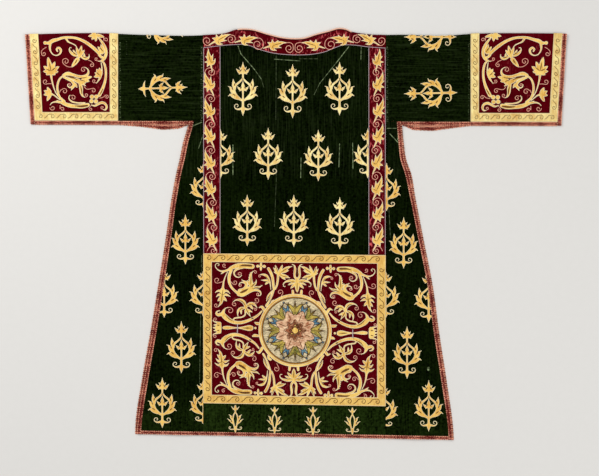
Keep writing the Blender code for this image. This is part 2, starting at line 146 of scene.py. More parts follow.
# Soft folds of the front layer: start, end, rise and half width
FOLDS = (
    (-0.161, 0.522, -0.085, 0.400, 0.0022, 0.022),
    (0.146, 0.519, 0.048, 0.385, 0.0024, 0.022),
    (-0.108, 0.480, 0.061, 0.482, 0.0014, 0.020),
    (-0.298, 0.312, -0.215, 0.365, 0.0030, 0.022),
    (-0.300, 0.290, -0.235, 0.230, 0.0022, 0.020),
    (0.292, 0.305, 0.205, 0.350, 0.0028, 0.022),
    (0.262, 0.278, 0.298, 0.236, 0.0030, 0.020),
    (-0.300, 0.220, -0.372, -0.500, 0.0020, 0.026),
    (0.298, 0.160, 0.372, -0.480, 0.0022, 0.026),
    (-0.120, 0.330, -0.136, -0.030, 0.0012, 0.045),
    (0.020, 0.380, 0.035, 0.020, 0.0010, 0.050),
    (0.150, 0.310, 0.160, -0.020, 0.0012, 0.045),
    (-0.240, 0.158, 0.235, 0.154, 0.0010, 0.030),
    (-0.150, -0.120, -0.160, -0.440, 0.0008, 0.060),
    (0.150, -0.140, 0.165, -0.430, 0.0009, 0.060),
    (-0.690, 0.450, -0.320, 0.430, 0.0018, 0.040),
    (-0.560, 0.350, -0.330, 0.345, 0.0014, 0.026),
    (0.320, 0.410, 0.700, 0.455, 0.0018, 0.040),
    (0.310, 0.345, 0.560, 0.352, 0.0015, 0.026),
    (-0.330, -0.560, -0.318, -0.400, 0.0022, 0.026),
    (-0.090, -0.560, -0.094, -0.490, 0.0014, 0.030),
    (0.105, -0.565, 0.110, -0.495, 0.0016, 0.030),
    (0.330, -0.570, 0.320, -0.430, 0.0022, 0.026),
)

# Fine creases pressed into the velvet: start, end, rise (below 0 a trough), half width
CREASES = (
    (-0.158, 0.519, -0.091, 0.408, 0.0007, 0.0050),
    (0.146, 0.516, 0.052, 0.388, 0.0008, 0.0055),
    (0.108, 0.480, 0.068, 0.425, -0.0004, 0.0060),
    (-0.108, 0.479, 0.061, 0.480, 0.0005, 0.0045),
    (-0.175, 0.244, -0.175, 0.165, 0.0004, 0.0040),
    (0.157, 0.250, 0.156, 0.178, 0.0004, 0.0040),
    (0.014, 0.212, 0.014, 0.155, 0.0003, 0.0040),
    (-0.253, 0.158, 0.243, 0.157, -0.0005, 0.0060),
    (-0.055, 0.495, -0.060, 0.010, 0.0003, 0.0050),
    (0.255, 0.285, 0.296, 0.239, 0.0007, 0.0060),
    (0.282, 0.288, 0.284, 0.262, 0.0004, 0.0040),
    (-0.292, 0.306, -0.262, 0.322, 0.0006, 0.0060),
    (-0.300, 0.270, -0.262, 0.240, 0.0005, 0.0060),
    (-0.352, 0.020, -0.330, -0.140, 0.0004, 0.0080),
    (-0.300, -0.300, -0.345, -0.430, -0.0004, 0.0090),
    (0.300, 0.060, 0.325, -0.150, 0.0004, 0.0080),
    (0.380, -0.220, 0.350, -0.390, -0.0004, 0.0090),
    (-0.460, 0.420, -0.300, 0.372, 0.0004, 0.0080),
    (0.300, 0.372, 0.462, 0.405, 0.0004, 0.0080),
)


# Outline and height

def hermite(places, values, where):
    """Values read smoothly between their places."""
    where = np.clip(np.asarray(where, float), places[0], places[-1])
    k = np.clip(np.searchsorted(places, where) - 1, 0, len(places) - 2)
    slopes = np.gradient(values, places)
    span = places[k + 1] - places[k]
    t = (where - places[k]) / span
    start = (1 + 2 * t) * (1 - t) ** 2 * values[k] + t * (1 - t) ** 2 * span * slopes[k]
    end = t * t * (3 - 2 * t) * values[k + 1] + t * t * (t - 1) * span * slopes[k + 1]
    return start + end


def table_line(table, column=1):
    """A function that reads one column of a table, smooth between its rows."""
    rows = np.array(table)
    return lambda where: hermite(rows[:, 0], rows[:, column], where)


top_edge = table_line(TOP_EDGE)
band_low = table_line(NECK_BAND_LOW)
body_edge = {-1: table_line(SIDE_EDGE, 1), 1: table_line(SIDE_EDGE, 2)}
back_shows = {-1: table_line(SIDE_EDGE, 3), 1: table_line(SIDE_EDGE, 4)}


def side(hand, y, layer):
    """Edge of the body at height y, on hand -1 or 1, for the front or back layer."""
    edge = body_edge[hand](y)
    return edge - hand * back_shows[hand](y) if layer == "front" else edge


def sleeve_low(x, layer):
    """Lower edge of the sleeve at x; the back sleeve drops by its table."""
    places, drops = np.array(BACK_DROP).T
    return SLEEVE_LOW - (np.interp(x, places, drops) if layer == "back" else 0.0 * x)


def ridges(x, y, rows):
    """Sum of soft ridges: each has the cross-section of a bell curve along its line."""
    total = np.zeros(np.broadcast(x, y).shape)
    for x0, y0, x1, y1, rise, half_width in rows:
        dx, dy = x1 - x0, y1 - y0
        length = math.hypot(dx, dy)
        along = ((x - x0) * dx + (y - y0) * dy) / length
        across = ((x - x0) * dy - (y - y0) * dx) / length
        past = np.maximum(0.0, np.maximum(-along, along - length))
        total = total + rise * np.exp(-(across ** 2 + past ** 2) / (2 * half_width ** 2))
    return total


def lift(x, y):
    """Rise of the front layer: its soft folds, capped, with the fine creases on them."""
    return MOST_LIFT * np.tanh(ridges(x, y, FOLDS) / MOST_LIFT) + ridges(x, y, CREASES)


def askew(x, y):
    """The garment lies a little askew, more towards the hem."""
    return y - TILT * x * np.clip((TILT_START - y) / TILT_REACH, 0.0, 1.1)


def straight(x, y):
    """The inverse of askew: the place on the cut cloth that lies at x, y."""
    k = TILT * x / TILT_REACH
    return np.where(y < TILT_START, (y + TILT_START * k) / (1 + k), y)


def steps_between(start, end, cell):
    """Even places from start to end, about one cell apart."""
    return np.linspace(start, end, max(1, round(abs(end - start) / cell)) + 1)


def steps_through(cell, *places):
    """Even steps from each place to the next, with no place twice."""
    runs = [steps_between(start, end, cell)[:-1] for start, end in zip(places, places[1:])]
    return np.concatenate([*runs, places[-1:]])


def net(x, y):
    """Arrays x and y of a net, their first index across and the second along."""
    x, y = np.broadcast_arrays(x, y)
    return np.array(x, float), np.array(y, float)


# Meshes

SHARP = math.radians(40)


def rim_edges(faces):
    """Directed edges that only one face has, from an array of equal-sided faces."""
    start = faces.ravel()
    end = np.roll(faces, -1, axis=1).ravel()
    size = int(faces.max()) + 1
    alone = ~np.isin(start * size + end, end * size + start)
    return start[alone], end[alone]


def make_mesh(name, points, faces, materials, slots=None, uv=None):
    """A smooth mesh object from points and lists of faces, at the origin."""
    mesh = bpy.data.meshes.new(name)
    mesh.from_pydata(points, [], [face for group in faces for face in group.tolist()])
    for material in materials:
        mesh.materials.append(material)
    if slots is not None:
        mesh.polygons.foreach_set("material_index", slots.astype(np.int32))
    if uv is not None:
        corner = np.empty(len(mesh.loops), np.int32)
        mesh.loops.foreach_get("vertex_index", corner)
        layer = mesh.uv_layers.new(name="Lie")
        layer.data.foreach_set("uv", uv[corner].astype(np.float32).ravel())
    mesh.update()
    mesh.shade_smooth()
    mesh.set_sharp_from_angle(angle=SHARP)
    piece = bpy.data.objects.new(name, mesh)
    bpy.context.scene.collection.objects.link(piece)
    return piece


def grid_faces(across, along, wrap=False):
    """Quads of a grid whose point (i, j) has the index i * along + j."""
    i, j = np.meshgrid(np.arange(across if wrap else across - 1), np.arange(along - 1),
                       indexing="ij")
    i, j = i.ravel(), j.ravel()
    right = (i + 1) % across
    return np.stack([i * along + j, right * along + j, right * along + j + 1,
                     i * along + j + 1], axis=1)


def shell(name, high, low, faces, materials, inner=None, uv=None):
    """A closed shell: faces on the high points, the same turned over on the low
    points, and a quad along each rim edge.  inner names the side, "high" or
    "low", that has the second material, the lining.
    """
    count = len(high)
    start, end = rim_edges(faces)
    rim = np.stack([end, start, start + count, end + count], axis=1)
    groups = [faces, faces[:, ::-1] + count, rim]
    slots = np.zeros(sum(len(group) for group in groups))
    if inner == "high":
        slots[:len(faces)] = 1
    elif inner == "low":
        slots[len(faces):2 * len(faces)] = 1
    both = None if uv is None else np.concatenate([uv, uv])
    return make_mesh(name, np.concatenate([high, low]), groups, materials, slots, uv=both)


def stacked(*values):
    """Points with one row each, from arrays of their coordinates."""
    return np.stack([np.broadcast_to(v, np.shape(values[0])).ravel() for v in values], axis=1)


def soft_edge(shape, depth):
    """Depth by which the outermost rows of a net are pressed down."""
    press = np.zeros(shape)
    press[[0, -1], :] = depth
    press[:, [0, -1]] = depth
    return press


def flat_cloth(name, x, y, base, wall, materials, inner=None, keep=None):
    """A cloth laid on the surface base(x, y), its wall measured upwards."""
    low = base(x, y)
    high = low + wall - soft_edge(x.shape, EDGE_PRESS * wall)
    laid_y = askew(x, y)
    faces = grid_faces(*x.shape)
    if keep is not None:
        faces = faces[keep.ravel()]
    return shell(name, stacked(x, laid_y, high), stacked(x, laid_y, low), faces, materials,
                 inner)


def front_base(x, y):
    """Under surface of the front layer."""
    return CLOTH + SEAM_GAP + lift(x, y)


def floor_base(x, y):
    """The surface that the garment lies on."""
    return 0.0 * (x + y)


def fold_shape(x):
    """Radius and height of the fold's centre line along the sleeve's top, at x."""
    shoulder = np.clip((np.abs(x) - abs(SEAM[1])) / SHOULDER, 0.0, 1.0)
    radius = (CLOTH + SEAM_GAP + (FOLD_GAP - SEAM_GAP) * shoulder) / 2
    return radius, top_edge(x) - radius - CLOTH / 2


def folded(x, reach, out):
    """Points of a sleeve's cloth, moved out by out from its middle surface.

    reach is the height on the front; past the fold's centre it goes on along
    the cloth, round a half circle and down the back.
    """
    half = CLOTH / 2
    radius, centre = fold_shape(x)
    down = centre - reach
    near = np.exp(-(down / FOLD_REACH) ** 2)
    still = np.clip(down / FOLD_REACH, 0.0, 1.0)
    room = 2 * radius - CLOTH - SEAM_GAP
    z_front = half + CLOTH + SEAM_GAP + room * near + lift(x, reach) * still + out
    turn = np.clip(-down / radius, 0.0, math.pi)
    past = np.maximum(-down - math.pi * radius, 0.0)
    y = np.where(down > 0, reach, centre + (radius + out) * np.sin(turn) - past)
    z = np.where(down > 0, z_front, half + radius + (radius + out) * np.cos(turn))
    return y, z


def fold_reaches(x, front_low, back_low, cell):
    """Reach values of a net from the front's lower edge over the fold to the back's."""
    radius, centre = fold_shape(x)
    rows = round(float(np.max(centre - front_low)) / cell)
    climb = front_low + (centre - front_low) * np.linspace(0, 1, rows + 1)[:, None]
    turn = centre + radius * np.linspace(0, math.pi, FOLD_ROWS)[1:, None]
    back_end = centre + math.pi * radius + (centre - back_low)
    fall = turn[-1] + (back_end - turn[-1]) * np.linspace(0, 1, BACK_ROWS)[1:, None]
    return np.concatenate([climb, turn, fall]).T


def sleeve_end(hand, x, y):
    """The cuff's outer end leans in towards its lower edge."""
    cuff = CUFF[hand]
    share = np.clip((x - cuff) / (hand * HALF_SPAN - cuff), 0.0, 1.0)
    top = float(top_edge(hand * HALF_SPAN))
    lean = END_SLANT * np.clip((top - y) / (top - SLEEVE_LOW), 0.0, 1.05)
    return x - hand * share * lean


def folded_sides(hand, across, reach, *distances):
    """Points of a folded cloth's surfaces, at each distance from its middle."""
    for distance in distances:
        y, z = folded(across, reach, distance)
        yield stacked(sleeve_end(hand, across, y), askew(across, y), z)


def folded_cloth(name, hand, x, low, back_low, finish, cell, uv_across=None):
    """A lined cloth folded over the sleeve's top, its wall to both sides of its middle."""
    reach = fold_reaches(x, low, back_low, cell)
    across = np.repeat(x[:, None], reach.shape[1], axis=1)
    uv = None
    if uv_across is not None:
        uv = stacked(np.repeat(uv_across[:, None], reach.shape[1], axis=1), reach)
    return shell(name, *folded_sides(hand, across, reach, CLOTH / 2, -CLOTH / 2),
                 grid_faces(*across.shape), [cloth_of(finish), cloth_of("Lining")], "low", uv)


# Cords

def edge_cords(points, start, end, radius):
    """Tubes along directed edges: each point gets a ring at right angles to its way on,
    each edge a band of quads, and each loose end a face.
    """
    used, place = np.unique(np.concatenate([start, end]), return_inverse=True)
    first, last = place[:len(start)], place[len(start):]
    after, before = np.arange(len(used)), np.arange(len(used))
    after[first] = last
    before[last] = first
    centre = points[used]
    across = sideways((centre[after] - centre[before])[:, :2])
    turn = np.linspace(0, 2 * math.pi, CORD_SIDES, endpoint=False)
    rings = np.repeat(centre[:, None, :], CORD_SIDES, axis=1)
    rings[..., :2] += radius * np.cos(turn)[:, None] * across[:, None, :]
    rings[..., 2] += radius * np.sin(turn)
    number = np.arange(CORD_SIDES)[None, :]
    step = (number + 1) % CORD_SIDES
    first, last = first[:, None] * CORD_SIDES, last[:, None] * CORD_SIDES
    quads = np.stack([first + number, first + step, last + step, last + number], axis=2)
    open_start = np.setdiff1d(first, last)[:, None] + number[:, ::-1]
    open_end = np.setdiff1d(last, first)[:, None] + number
    return rings.reshape(-1, 3), quads.reshape(-1, 4), np.concatenate([open_start, open_end])


def sideways(ahead):
    """Unit vectors at right angles to flat ones, to their left."""
    across = np.stack([-ahead[:, 1], ahead[:, 0]], axis=1)
    return across / np.maximum(np.linalg.norm(across, axis=1, keepdims=True), 1e-12)


# Drawing.  Shapes are closed outlines on the cut cloth, in metres.

LEAST_STEP, LEAST_AREA = 0.0001, 2e-8
MERGED = 3e-5           # points nearer than this become one
LEAF_STEPS, CURL_STEPS, BEAD_STEPS = 9, 15, 14
THINNEST, LEAST_BEAD = 0.0003, 0.0004


def smooth_line(knots, spacing):
    """A smooth line through knots, its columns read at even steps."""
    knots = np.asarray(knots, float)
    run = run_length(knots[:, 0], knots[:, 1])
    where = steps_between(0.0, run[-1], spacing)
    return np.stack([hermite(run, column, where) for column in knots.T], axis=1)


def run_length(x, y):
    """Length along a line up to each of its points."""
    return np.concatenate([[0.0], np.cumsum(np.hypot(np.diff(x), np.diff(y)))])


def ribbon(line):
    """Triangles of a ribbon along a line with columns x, y and width, its ends round."""
    half = np.maximum(line[:, 2:3], THINNEST) / 2
    across = sideways(np.gradient(line[:, :2], axis=0))
    left, right = line[:, :2] + half * across, line[:, :2] - half * across
    first = np.stack([left[:-1], right[:-1], right[1:]], axis=1)
    second = np.stack([left[:-1], right[1:], left[1:]], axis=1)
    caps = [circle(line[k, :2], float(half[k, 0])) for k in (0, -1) if half[k, 0] > THINNEST * 2]
    return [*first, *second, *caps]


def circle(centre, radius, steps=10):
    """Outline of a circle."""
    turn = np.linspace(0, 2 * math.pi, steps, endpoint=False)
    return np.asarray(centre) + radius * np.stack([np.cos(turn), np.sin(turn)], axis=1)


def signed_area(x, y):
    """Area inside an outline, above 0 if it runs anticlockwise."""
    return float(np.sum(x * np.roll(y, -1) - y * np.roll(x, -1))) / 2


def wound(shape):
    """The outline, turned so that it runs anticlockwise."""
    return shape if signed_area(*shape.T) > 0 else shape[::-1]


class Figure:
    """Satin shapes, brown hollows and tendrils drawn in the figure's own units, y down.

    Widths are measured over the cord that goes round the satin.
    """

    def __init__(self, x, y, unit, turn=0.0, flip=1):
        self.start, self.unit, self.flip, self.side = np.array([x, y]), unit, flip, 1
        cos, sin = math.cos(math.radians(turn)), math.sin(math.radians(turn))
        self.turn = np.array([[cos, sin], [-sin, cos]])
        self.shapes, self.hollows, self.tendrils = [], [], []

    def both(self):
        """Twice, so that what is drawn each time stands once as it is and once mirrored."""
        for side in (1, -1):
            self.side = side
            yield
        self.side = 1

    def at(self, points):
        """Points of the drawing on the cloth; a third column is a width."""
        points = np.atleast_2d(np.asarray(points, float))
        drawn = points[:, :2] * (self.side, 1) @ self.turn
        placed = drawn * self.unit * np.array([self.flip, -1]) + self.start
        return np.concatenate([placed, points[:, 2:] * self.unit], axis=1)

    def stroke(self, *knots):
        """A ribbon through knots of x, y and width."""
        line = smooth_line(self.at(knots), LINE_STEP)
        line[:, 2] -= CORD
        self.shapes += ribbon(line)

    def hollow(self, *knots):
        """A brown ribbon that lies on the satin."""
        self.hollows += ribbon(smooth_line(self.at(knots), LINE_STEP))

    def line(self, *knots):
        """A tendril through knots of x and y."""
        self.tendrils.append(smooth_line(self.at(knots), TENDRIL_STEP))

    def disc(self, x, y, radius):
        """A round bead."""
        radius = max(radius * self.unit - CORD / 2, LEAST_BEAD)
        self.shapes.append(circle(self.at((x, y))[0], radius, BEAD_STEPS))

    def leaf(self, x0, y0, x1, y1, width):
        """A leaf with a round foot at its first point and a sharp tip at its second."""
        share = np.linspace(0.0, 1.0, LEAF_STEPS)
        half = width / 2 * np.sqrt(np.sin(math.pi * share ** 0.62) + 0.10 * (1 - share))
        half = np.maximum(half - CORD / 2 / self.unit, 0.00015 / self.unit)
        half[-1] = 0.0
        dx, dy = x1 - x0, y1 - y0
        length = math.hypot(dx, dy)
        spine = np.stack([x0 + dx * share, y0 + dy * share], axis=1)
        across = self.side * np.array([-dy, dx]) / length * half[:, None]
        self.shapes.append(self.at(np.concatenate([spine + across, (spine - across)[-2::-1]])))

    def fan(self, x, y, width, *tips):
        """Leaves from one point out to each tip."""
        for tip_x, tip_y in tips:
            self.leaf(x, y, tip_x, tip_y, width)

    def curl(self, x, y, radius, start, hand, *tail):
        """A tendril that comes along its tail and winds in round x, y.

        start is the angle in degrees where it reaches the circle, hand is 1 for
        clockwise as drawn and -1 for the other way.
        """
        turn = math.radians(start) + hand * np.linspace(0.0, 2.2 * math.pi, CURL_STEPS)
        reach = radius * np.linspace(1.0, 0.28, CURL_STEPS)
        wind = np.stack([x + reach * np.cos(turn), y + reach * np.sin(turn)], axis=1)
        self.line(*tail, *wind.tolist())

    def trefoil(self, y, size, shoulders=True):
        """A leaf with its tip at 0, y, side lobes that curve out to tips, and two corners."""
        def at(across, down, width):
            return (size * across, y + size * down, size * width)

        self.stroke(at(0, 12.2, 2.2), at(0, 9.2, 4.8), at(0, 6.2, 4.3), at(0, 3.2, 2.1),
                    at(0, 0.0, 0.1))
        for _ in self.both():
            self.stroke(at(0.6, 10.0, 3.2), at(3.0, 10.0, 3.7), at(4.8, 8.7, 2.4),
                        at(6.7, 6.5, 0.1))
            self.stroke(at(0.8, 9.6, 2.4), at(2.8, 11.0, 1.7), at(3.9, 12.2, 0.3))
            if shoulders:
                self.stroke(at(0.8, 8.4, 2.8), at(2.4, 6.6, 1.8), at(3.5, 4.9, 0.2))
            self.hollow(at(3.2, 9.6, 0.3), at(2.2, 8.6, 1.0), at(1.4, 6.9, 0.2))

    def moved(self, change):
        """A copy, each of its points taken through change(x, y)."""
        copy = Figure(0.0, 0.0, self.unit)
        for kind in ("shapes", "hollows", "tendrils"):
            lines = getattr(self, kind)
            setattr(copy, kind, [np.stack(change(*line[:, :2].T), axis=1) for line in lines])
        return copy


def sound(shape):
    """The outline without points that nearly coincide, or None if little is left of it."""
    far = np.linalg.norm(shape - np.roll(shape, 1, axis=0), axis=1) > LEAST_STEP
    shape = shape[far]
    if len(shape) < 3:
        return None
    return wound(shape) if abs(signed_area(*shape.T)) > LEAST_AREA else None


def inside(points, shape):
    """True for the points that the outline winds round."""
    start, end = shape, np.roll(shape, -1, axis=0)
    step = end - start
    x, y = points[:, 0:1], points[:, 1:2]
    to_left = step[:, 0] * (y - start[:, 1]) - step[:, 1] * (x - start[:, 0]) > 0
    rises = (start[:, 1] <= y) & (end[:, 1] > y) & to_left
    falls = (start[:, 1] > y) & (end[:, 1] <= y) & ~to_left
    return rises.sum(axis=1) != falls.sum(axis=1)


def joined(shapes, clip=None, cell=0.0075):
    """Points and triangles of overlapping shapes joined into one, inside the clip."""
    loops = [loop for shape in shapes if (loop := sound(shape[:, :2])) is not None]
    count = len(loops)
    if clip is not None:
        loops.append(wound(np.array(clip, float)))
    ends = np.cumsum([0] + [len(loop) for loop in loops])
    edges = [(k, k + 1 if k + 1 < b else a) for a, b in zip(ends[:-1], ends[1:])
             for k in range(a, b)]
    points = np.concatenate(loops)
    low = np.concatenate(loops[:count]).min(axis=0)
    high = np.concatenate(loops[:count]).max(axis=0)
    inner = np.meshgrid(np.arange(low[0], high[0], cell), np.arange(low[1], high[1], cell))
    points = np.concatenate([points, np.stack([axis.ravel() for axis in inner], axis=1)])
    corners, _, faces, _, _, _ = delaunay_2d_cdt(points.tolist(), edges, [], 0, MERGED, True)
    corners = np.array([tuple(corner) for corner in corners])
    faces = np.array([face for face in faces if len(face) == 3])
    middles = corners[faces].mean(axis=1)
    kept = np.zeros(len(faces), bool)
    for loop in loops[:count]:
        near = ~kept & ((middles >= loop.min(axis=0)) & (middles <= loop.max(axis=0))).all(axis=1)
        near = np.flatnonzero(near)
        kept[near[inside(middles[near], loop)]] = True
    if clip is not None:
        kept &= inside(middles, loops[count])
    used, place = np.unique(faces[kept], return_inverse=True)
    return corners[used], place.reshape(-1, 3)


def far_from(points, clip, distance=0.0002):
    """True for the points that don't lie on the clip's outline."""
    clip = np.array(clip, float)
    after = np.roll(clip, -1, axis=0)
    step = after - clip
    share = np.clip(((points[:, None] - clip) * step).sum(axis=2) / (step ** 2).sum(axis=1), 0, 1)
    off = points[:, None] - clip - share[..., None] * step
    return np.linalg.norm(off, axis=2).min(axis=1) > distance


class Ornaments:
    """Figures on one piece of cloth, gathered and made into a few pieces.

    lie(x, y, out) gives points at a height out over the cloth's own surface.
    """

    def __init__(self, name, lie):
        self.name, self.lie = name, lie
        self.parts = {"satin": [], "hollow": []}
        self.tendrils = []

    def add(self, figure, clip=None):
        """Take a figure's shapes, joined, and its tendrils."""
        if figure.shapes:
            self.parts["satin"].append((*joined(figure.shapes, clip), clip))
        if figure.hollows:
            self.parts["hollow"].append((*joined(figure.hollows, clip), clip))
        self.tendrils += figure.tendrils

    def gather(self, kind):
        """Points, triangles and corded rim edges of every figure of a kind."""
        points, faces, starts, ends, count = [], [], [], [], 0
        for corners, triangles, clip in self.parts[kind]:
            start, end = rim_edges(triangles)
            if clip is not None:
                shown = far_from((corners[start] + corners[end]) / 2, clip)
                start, end = start[shown], end[shown]
            points.append(corners)
            faces.append(triangles + count)
            starts.append(start + count)
            ends.append(end + count)
            count += len(corners)
        return [np.concatenate(part) for part in (points, faces, starts, ends)]

    def make(self, satin_finish="Satin", cord_finish="Cream_cord", edge_width=CORD):
        """Make the satin, its edge cord, the hollows and the tendrils."""
        sizes = bpy.context.scene.dalmatic_sizes
        rise = sizes.satin
        if self.parts["satin"]:
            points, faces, start, end = self.gather("satin")
            x, y = points.T
            crown = np.full(len(points), CROWN)
            crown[rim_edges(faces)[0]] = 0.0
            piece = shell(f"{self.name}_satin", self.lie(x, y, rise + crown),
                          self.lie(x, y, -SUNK), faces, [cloth_of(satin_finish)])
            hand_over(piece, "yellow_satin")
            edge = self.lie(x, y, 0.65 * rise)
            rings, quads, ends = edge_cords(edge, start, end, edge_width / 2)
            piece = make_mesh(f"{self.name}_cord", rings, [quads, ends], [cloth_of(cord_finish)])
            hand_over(piece, "yellow_satin")
        if self.parts["hollow"]:
            points, faces, _, _ = self.gather("hollow")
            x, y = points.T
            piece = shell(f"{self.name}_hollow", self.lie(x, y, rise + HOLLOW_RISE),
                          self.lie(x, y, 0.5 * rise), faces, [cloth_of("Hollow")])
            hand_over(piece, "couched_ring")
        if self.tendrils:
            self.cords("tendrils", self.tendrils, sizes.tendril / 2, "Rose_cord")

    def cords(self, word, lines, radius, finish, slot="yellow_satin", height=0.3):
        """Cords laid along lines of the cloth."""
        points = self.lie(*np.concatenate(lines)[:, :2].T, height * radius)
        lasts = np.cumsum([len(line) for line in lines]) - 1
        start = np.setdiff1d(np.arange(len(points)), lasts)
        rings, quads, ends = edge_cords(points, start, start + 1, radius)
        hand_over(make_mesh(f"{self.name}_{word}", rings, [quads, ends], [cloth_of(finish)]),
                  slot)


def on_body(height):
    """Points over the front layer's upper surface, raised by height."""
    def lie(x, y, out):
        return stacked(x, askew(x, y), front_base(x, y) + CLOTH + height + out)
    return lie


def on_sleeve(hand, height=0.0):
    """Points over a sleeve's outer surface; y past the fold goes round it."""
    def lie(x, y, out):
        flat_y, z = folded(x, y, CLOTH / 2 + height + out)
        return stacked(sleeve_end(hand, x, flat_y), askew(x, flat_y), z)
    return lie


BAND_HEIGHT = SEAM_GAP + BAND_CLOTH
BORDER_HEIGHT = BAND_HEIGHT + SEAM_GAP + SATIN


# Materials

def linear(red, green, blue):
    """A colour of 0 to 255 values, as the linear values that a shader takes."""
    value = np.array([red, green, blue]) / 255
    low = value <= 0.04045
    return (*np.where(low, value / 12.92, ((value + 0.055) / 1.055) ** 2.4), 1.0)


class Num:
    """A shader value.  Arithmetic on it makes Math nodes."""

    def __init__(self, tree, socket):
        self.tree, self.socket = tree, socket

    def math(self, operation, *others, clamp=False):
        """The value of one Math node, with this value first."""
        node = self.tree.nodes.new("ShaderNodeMath")
        node.operation = operation
        node.use_clamp = clamp
        for entry, value in zip(node.inputs, (self, *others)):
            if isinstance(value, Num):
                self.tree.links.new(value.socket, entry)
            else:
                entry.default_value = value
        return Num(self.tree, node.outputs[0])

    def __add__(self, other):
        return self.math("ADD", other)

    def __sub__(self, other):
        return self.math("SUBTRACT", other)

    def __mul__(self, other):
        return self.math("MULTIPLY", other)

    def __truediv__(self, other):
        return self.math("DIVIDE", other)

    def __rsub__(self, other):
        return self * -1.0 + other

    __radd__ = __add__
    __rmul__ = __mul__

    def clamp(self):
        """The value kept between 0 and 1."""
        return self.math("ADD", 0.0, clamp=True)

    def step(self, low, high):
        """Rises from 0 at low to 1 at high."""
        return ((self - low) / (high - low)).clamp()

    def wave(self, pitch):
        """A sine of the value, with that pitch, from -1 to 1."""
        return (self * (2 * math.pi / pitch)).math("SINE")


class Finish:
    """A procedural material round one Principled shader."""

    def __init__(self, name, roughness, specular=0.1, sheen=0.0):
        self.material = bpy.data.materials.new(name)
        self.material.use_nodes = True
        self.tree = self.material.node_tree
        self.shader = self.tree.nodes["Principled BSDF"]
        self.shader.inputs["Roughness"].default_value = roughness
        self.shader.inputs["Specular IOR Level"].default_value = specular
        self.shader.inputs["Sheen Weight"].default_value = sheen
        self.shader.inputs["Sheen Roughness"].default_value = 0.4
        self.place = self.node("TexCoord").outputs["Object"]

    def node(self, kind, settings=None, **sockets):
        """A node of that kind, with its settings and its inputs set or linked."""
        node = self.tree.nodes.new("ShaderNode" + kind)
        for key, value in (settings or {}).items():
            setattr(node, key, value)
        for key, value in sockets.items():
            entry = node.inputs[key.replace("_", " ")]
            self.join(value, entry)
        return node

    def join(self, value, entry):
        """Set or link one input."""
        if isinstance(value, Num):
            value = value.socket
        if isinstance(value, bpy.types.NodeSocket):
            self.tree.links.new(value, entry)
        else:
            entry.default_value = value

    def axes(self, place=None):
        """The x, y and z of a place, as values."""
        split = self.node("SeparateXYZ", Vector=place or self.place)
        return [Num(self.tree, out) for out in split.outputs]

    def vector(self, x, y, z):
        """A vector from three values."""
        return self.node("CombineXYZ", X=x, Y=y, Z=z).outputs[0]

    def noise(self, scale, detail=2.0, place=None, roughness=0.5):
        """Noise from 0 to 1 at a place."""
        node = self.node("TexNoise", Vector=place or self.place, Scale=scale, Detail=detail,
                         Roughness=roughness)
        return Num(self.tree, node.outputs["Fac"])

    def mix(self, factor, first, second):
        """A colour from first, at 0, to second, at 1."""
        node = self.node("Mix", {"data_type": "RGBA"})
        self.join(factor, node.inputs[0])
        self.join(first, node.inputs[6])
        self.join(second, node.inputs[7])
        return node.outputs[2]

    def shade(self, colour, factor):
        """A colour times a value."""
        node = self.node("VectorMath", {"operation": "SCALE"})
        self.join(colour if isinstance(colour, bpy.types.NodeSocket) else colour[:3],
                  node.inputs[0])
        self.join(factor, node.inputs["Scale"])
        return node.outputs[0]

    def bump(self, height, distance, strength=1.0):
        """Fine relief of the surface."""
        node = self.node("Bump", Height=height, Distance=distance, Strength=strength)
        self.join(node.outputs[0], self.shader.inputs["Normal"])

    def done(self, colour):
        """The material, with its base colour."""
        self.join(colour, self.shader.inputs["Base Color"])
        return self.material


# Worn lines of the velvet: start, end, half width and strength
WORN_LINES = (
    (-0.161, 0.522, -0.153, 0.500, 0.0009, 1.0),
    (-0.153, 0.500, -0.139, 0.484, 0.0009, 1.0),
    (-0.139, 0.484, -0.115, 0.456, 0.0009, 0.95),
    (-0.115, 0.456, -0.097, 0.431, 0.0008, 0.6),
    (-0.097, 0.431, -0.089, 0.406, 0.0007, 0.4),
    (0.146, 0.519, 0.115, 0.479, 0.0009, 0.95),
    (0.115, 0.479, 0.066, 0.418, 0.0008, 0.8),
    (0.066, 0.418, 0.050, 0.386, 0.0007, 0.4),
    (-0.060, 0.485, 0.011, 0.480, 0.0009, 0.7),
    (0.010, 0.486, 0.060, 0.486, 0.0007, 0.3),
    (-0.055, 0.494, -0.056, 0.317, 0.0005, 0.30),
    (-0.051, 0.240, -0.060, 0.020, 0.0005, 0.30),
    (0.181, 0.519, 0.180, 0.483, 0.0008, 0.7),
    (-0.175, 0.247, -0.175, 0.164, 0.0009, 1.0),
    (0.157, 0.253, 0.158, 0.181, 0.0009, 0.9),
    (0.014, 0.211, 0.013, 0.156, 0.0008, 0.9),
    (0.121, 0.250, 0.119, 0.186, 0.0008, 0.8),
    (0.253, 0.293, 0.289, 0.293, 0.0007, 0.9),
    (0.282, 0.289, 0.282, 0.261, 0.0008, 1.0),
    (0.260, 0.278, 0.294, 0.242, 0.0009, 1.0),
    (-0.292, 0.297, -0.262, 0.310, 0.0012, 0.6),
    (-0.270, 0.238, -0.256, 0.280, 0.0010, 0.5),
    (0.252, 0.180, 0.262, -0.010, 0.0007, 0.4),
    (-0.268, -0.440, -0.262, -0.060, 0.0007, 0.4),
    (0.3672, -0.3720, 0.3672, -0.3760, 0.0026, 1.2),
)

